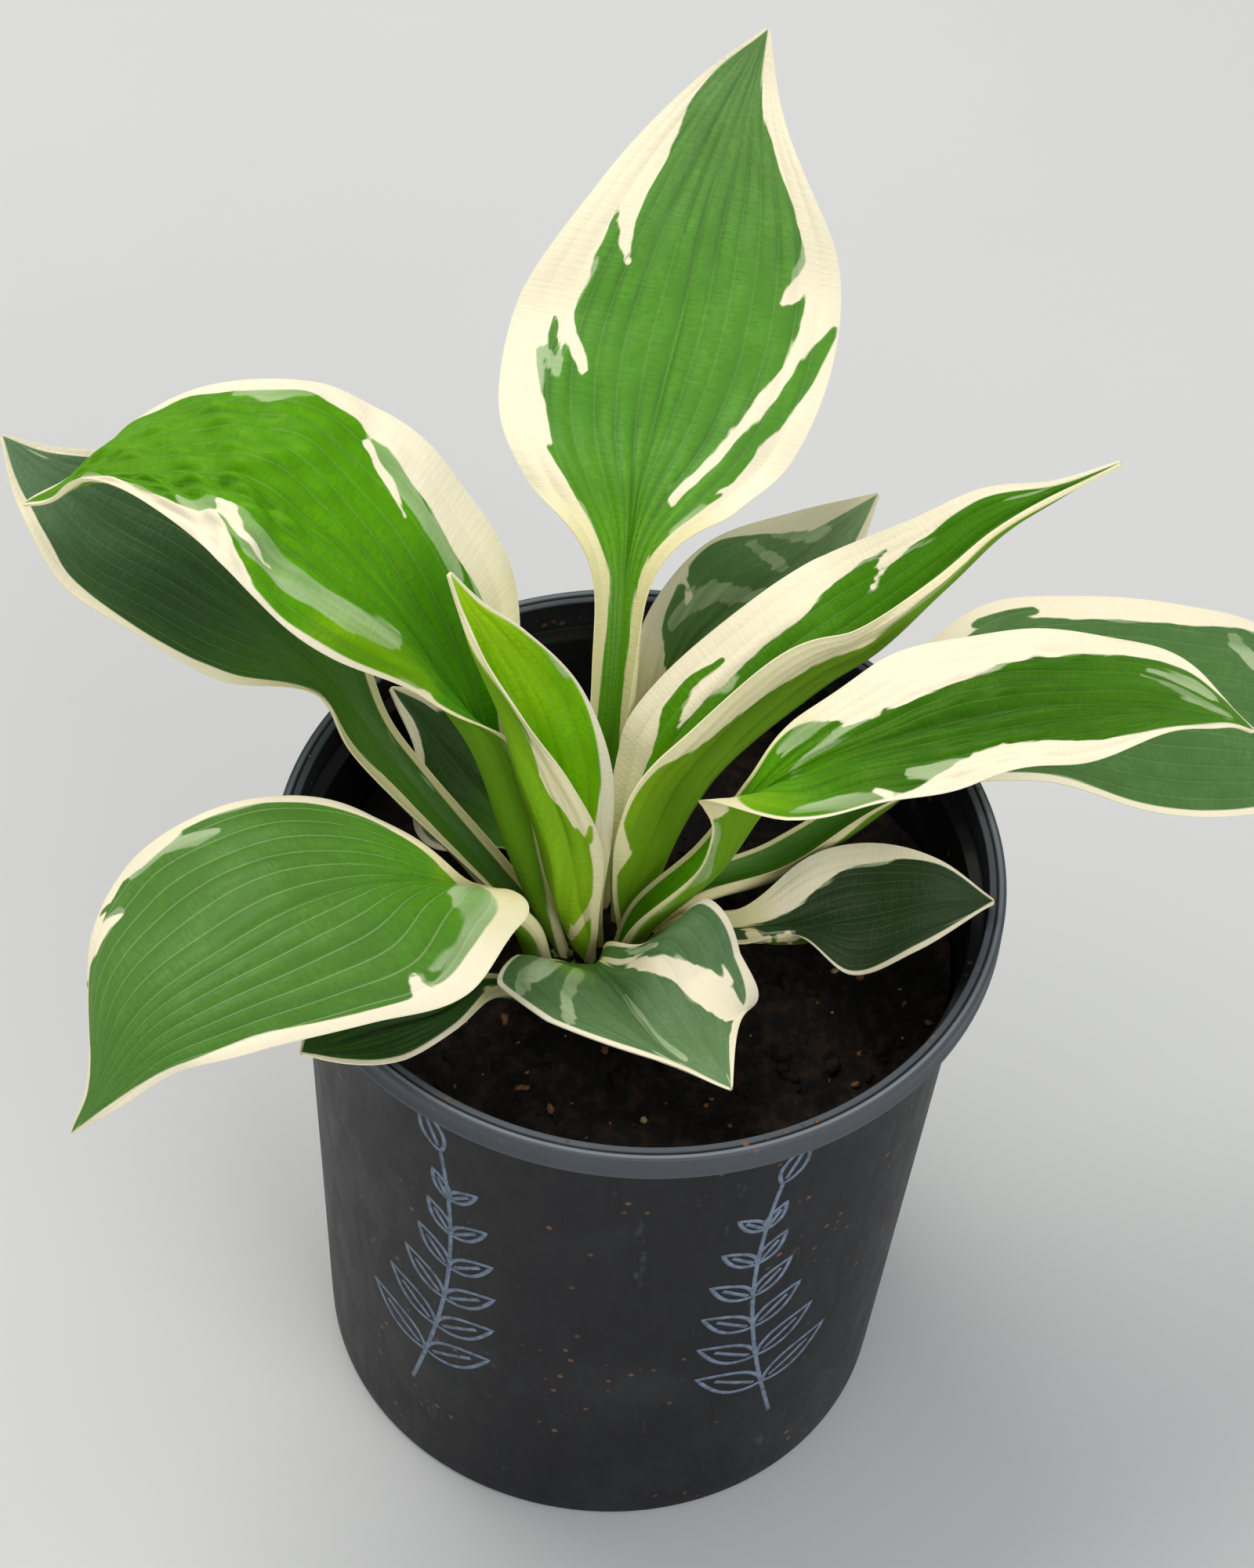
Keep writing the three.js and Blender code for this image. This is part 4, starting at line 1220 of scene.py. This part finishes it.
pot_form = drilled(turned(POT_PROFILE, POT_STEPS))
crease(pot_form)
pot = finished("pot_fine", pot_form, pot_finish(), "pot")
print("pot", len(pot.data.polygons), "faces")

# %% [markdown]
# The wall carries a pale line drawing. Here it is a plain sprig of the script's own: a bending
# stem with pairs of pointed leaves, four times round the pot. A picture would need its own
# mapping and blur close up, so each line is a ribbon extruded along its path on the wall and
# given a hair's thickness, as thick as printing ink would be if it could be felt.

# %% Pot: the printed sprigs
INK_WIDTH = 1.1
INK_THICKNESS = 0.12
SPRIGS = [(-131, 1), (-50, -1), (40, 1), (128, -1)]
STEM_FOOT = 34
STEM_HEIGHT = 108
STEM_BEND = 16
LEAF_PAIRS = 6
PAIRS_FROM = 0.16
PAIRS_APART = 0.135
PRINTED_LEAF = {"length": 21, "shorter": 2.2, "width": 0.19, "spread": 56, "closer": 4, "lean": 0.25}
END_LEAF = {"length": 15, "width": 3, "lean": 0.35}


def stem_point(t, hand):
    """A place on a sprig's stem in millimetres along and up the wall."""
    return np.array([hand * STEM_BEND * math.sin(1.9 * t + 0.2), STEM_FOOT + STEM_HEIGHT * t])


def leaf_outline(root, bearing, length, width):
    """A pointed leaf as one closed path, and its midrib as another."""
    along = np.array([math.cos(bearing), math.sin(bearing)])
    aside = np.array([-along[1], along[0]])
    t = np.linspace(0, 1, 12)
    swell = width * np.sin(math.pi * t**0.8)
    one = [root + along * length * a + aside * w for a, w in zip(t, swell)]
    other = [root + along * length * a - aside * w for a, w in zip(t[::-1], swell[::-1])]
    return one + other[1:], [root + along * length * a for a in (0.12, 0.4, 0.72)]


def sprig_paths(hand):
    """The stem, then its pairs of leaves, each a little smaller and steeper, and the end leaf."""
    up = math.pi / 2
    paths = [[stem_point(t, hand) for t in np.linspace(0, 1, 20)]]
    for i in range(LEAF_PAIRS):
        t = PAIRS_FROM + PAIRS_APART * i
        length = PRINTED_LEAF["length"] - PRINTED_LEAF["shorter"] * i
        spread = math.radians(PRINTED_LEAF["spread"] - PRINTED_LEAF["closer"] * i)
        for side in (-1, 1):
            bearing = up - side * spread - hand * PRINTED_LEAF["lean"] * t
            width = PRINTED_LEAF["width"] * length
            paths.extend(leaf_outline(stem_point(t, hand), bearing, length, width))
    bearing = up + hand * END_LEAF["lean"]
    end = leaf_outline(stem_point(1, hand), bearing, END_LEAF["length"], END_LEAF["width"])
    paths.extend(end)
    return paths


def on_wall(point, bearing):
    """A place of the print on the pot's tapered wall, in metres."""
    r = FOOT_R + TAPER * point[1] + INK_THICKNESS / 2
    turned_by = math.radians(bearing) + point[0] / r
    return Vector((r * math.cos(turned_by), r * math.sin(turned_by), point[1])) * MM


def ribbon(bm, path, bearing):
    """A ribbon along a path: one short edge, extruded from point to point."""
    path = np.array(path)
    steps = unit(np.gradient(path, axis=0))
    aside = np.stack([-steps[:, 1], steps[:, 0]], 1) * INK_WIDTH / 2
    ends = [bm.verts.new(on_wall(path[0] + k * aside[0], bearing)) for k in (-1, 1)]
    edge = bm.edges.new(ends)
    for point, offset in zip(path[1:], aside[1:]):
        grown = bmesh.ops.extrude_edge_only(bm, edges=[edge])["geom"]
        edge = next(part for part in grown if isinstance(part, bmesh.types.BMEdge))
        for vert, old in zip(edge.verts, ends):
            vert.co = old.co
        ends = list(edge.verts)
        for vert, k in zip(ends, (-1, 1)):
            vert.co = on_wall(point + k * offset, bearing)


INK = colour(116, 130, 150)
WORN_INK = colour(74, 84, 100)

ink = Finish("pale_ink", Roughness=0.6)
wear = ink.noise(ink.object_place(), 420, detail=4, roughness=0.7)
ink.put("Base Color", ink.mix(ink.step(wear, 0.35, 0.7), INK, WORN_INK))
bm = bmesh.new()
for sprig_bearing, sprig_hand in SPRIGS:
    for sprig_path in sprig_paths(sprig_hand):
        ribbon(bm, sprig_path, sprig_bearing)
bmesh.ops.recalc_face_normals(bm, faces=bm.faces[:])
bmesh.ops.solidify(bm, geom=bm.faces[:], thickness=INK_THICKNESS * MM)
sprigs = finished("pot_sprigs", bm, ink.made, None)
print("sprigs", len(sprigs.data.polygons), "faces")

# %% [markdown]
# The pot is filled with a dark, crumbly mix of bark and peat, a little dished round the crown.
# Its top is turned from a row of points about a millimetre apart, so that noise can raise it
# into crumbs. Below the top it follows the inside of the pot, where nobody looks but where the
# piece still has to be closed.

# %% Potting mix: its body
SOIL_TOP = 139
SOIL_FLOOR = 2.4
SOIL_FOOT_R = 65.4
SOIL_RIM_R = 73.1
CROWN_AT = (-8.5, 3)
CROWN_R = 18.5
DISH = (31, 3.8)
SWELLS = [(0.9, 61, 20), (0.7, 43, 105), (0.4, 27, 160)]
SOIL_RING_STEP = 0.95
SOIL_STEPS = 220


def soil_height(x, y):
    """The gently uneven ground of the solid model, in millimetres."""
    from_crown = math.hypot(x - CROWN_AT[0], y - CROWN_AT[1])
    share = min(max((from_crown - CROWN_R) / (DISH[0] - CROWN_R), 0), 1)
    height = SOIL_TOP - DISH[1] * (1 - share * share * (3 - 2 * share))
    for swell, length, bearing in SWELLS:
        along = x * math.cos(math.radians(bearing)) + y * math.sin(math.radians(bearing))
        height += swell * math.sin(2 * math.pi * along / length)
    return height


def crumbs_at(x, y):
    """The crumbs on it: coarse lumps with smaller ones on them."""
    coarse = noise.noise((x * 0.16, y * 0.16, 3.1))
    middle = noise.noise((x * 0.38, y * 0.38, 7.7))
    fine = noise.noise((x * 0.8, y * 0.8, 1.3))
    return 1.5 * coarse + 1.5 * abs(middle) + 0.8 * fine - 0.4


soil_rings = np.arange(0, SOIL_RIM_R, SOIL_RING_STEP)
soil_profile = [(r, SOIL_TOP) for r in soil_rings] + [(SOIL_RIM_R, SOIL_TOP)]
soil_profile += [(SOIL_FOOT_R, SOIL_FLOOR), *reversed(floor_at(SOIL_FLOOR))]
soil_form = turned(soil_profile, SOIL_STEPS)
for vert in soil_form.verts:
    x, y, z = vert.co / MM
    if z > SOIL_TOP - 1:
        vert.co.z = (soil_height(x, y) + crumbs_at(x, y)) * MM

# %% [markdown]
# The mix is nearly black where it is damp and brown on the crumbs that have dried. Noise at
# two scales gives it the look of peat, one for the lumps and one for the dust.


# %% Potting mix: the finish
def soil_finish(name, damp, dry):
    paint = Finish(name, Roughness=0.92)
    place = paint.object_place()
    lumps = paint.noise(place, 240, detail=6, roughness=0.65)
    dust = paint.noise(place, 1100, detail=3, roughness=0.7)
    tone = paint.mix(paint.step(lumps, 0.42, 0.72), damp, dry)
    tone = paint.mix(paint.times(paint.step(dust, 0.5, 0.8), 0.5), tone, dry)
    paint.put("Base Color", tone)
    paint.put("Specular IOR Level", 0.3)
    paint.bump(paint.calc("MULTIPLY_ADD", dust, 0.4, lumps), 0.9, 0.0012)
    return paint.made


soil_paint = soil_finish("potting_mix", colour(12, 9, 7), colour(50, 35, 22))
soil = finished("soil_fine", soil_form, soil_paint, "soil")
print("soil", len(soil.data.polygons), "faces")

# %% [markdown]
# Loose bits lie on the mix: dark bark, tan and orange chips, a few pale grains. Each is a small
# faceted ball, squashed and turned at random, so hundreds of them cost little. A few have
# stuck to the rim, as they do when a pot is filled.

# %% Potting mix: loose bits
BITS = [
    ("bark", 240, (0.7, 2.6), (20, 15, 11), (44, 32, 24)),
    ("chips", 100, (0.5, 1.5), (118, 78, 48), (150, 106, 70)),
    ("grains", 34, (0.4, 1.2), (170, 150, 112), (196, 178, 140)),
]
SPREAD_R = 71
RAISED = 0.15
RIM_BITS = {"count": 16, "radius": (79, 82), "size": (0.3, 0.6)}


def add_bit(bm, at, size, rng):
    """One bit of a random shape, about as large as size in millimetres."""
    stretch = Vector((rng.uniform(0.7, 1.5), rng.uniform(0.5, 1), rng.uniform(0.35, 0.8)))
    turn = Matrix.Rotation(rng.uniform(0, 2 * math.pi), 4, "Z")
    turn = turn @ Matrix.Rotation(rng.uniform(-0.5, 0.5), 4, "X")
    place = Matrix.Translation(Vector(at) * MM) @ turn @ Matrix.Diagonal((*stretch, 1))
    made = bmesh.ops.create_icosphere(bm, subdivisions=1, radius=size * MM, matrix=place)
    for vert in made["verts"]:
        vert.co += Vector(rng.uniform(-0.22, 0.22, 3)) * size * MM


for seed, (bits_name, count, (least, most), damp, dry) in enumerate(BITS):
    rng = np.random.default_rng(40 + seed)
    bm = bmesh.new()
    for _ in range(count):
        r = SPREAD_R * math.sqrt(rng.uniform(0, 1))
        bearing = rng.uniform(0, 2 * math.pi)
        size = least + (most - least) * rng.uniform(0, 1) ** 2
        x, y = r * math.cos(bearing), r * math.sin(bearing)
        add_bit(bm, (x, y, soil_height(x, y) + crumbs_at(x, y) + RAISED * size), size, rng)
    if bits_name == "chips":
        for _ in range(RIM_BITS["count"]):
            bearing = rng.uniform(0, 2 * math.pi)
            r = rng.uniform(*RIM_BITS["radius"])
            at = (r * math.cos(bearing), r * math.sin(bearing), POT_HEIGHT + 0.1)
            add_bit(bm, at, rng.uniform(*RIM_BITS["size"]), rng)
    paint = soil_finish(bits_name, colour(*damp), colour(*dry))
    bits = finished("soil_" + bits_name, bm, paint, None)
    print(bits.name, len(bits.data.polygons), "faces")

# %% [markdown]
# The stalks grow from a short buried stem, the crown. Its solid stays as it is, because only a
# trace of it shows between the stalks, and it gets a fibrous green finish.

# %% Crown: the finish
crown_paint = Finish("fibrous_crown", Roughness=0.85)
crown_place = crown_paint.object_place()
fibres = crown_paint.noise(crown_paint.stretch(crown_place, (1, 1, 0.15)), 700, detail=4)
crown_paint.put("Base Color", crown_paint.mix(fibres, colour(56, 92, 6), colour(128, 156, 48)))
crown_paint.bump(fibres, 0.6, 0.0006)
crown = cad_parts["crown"]
crown.data.materials.clear()
crown.data.materials.append(crown_paint.made)
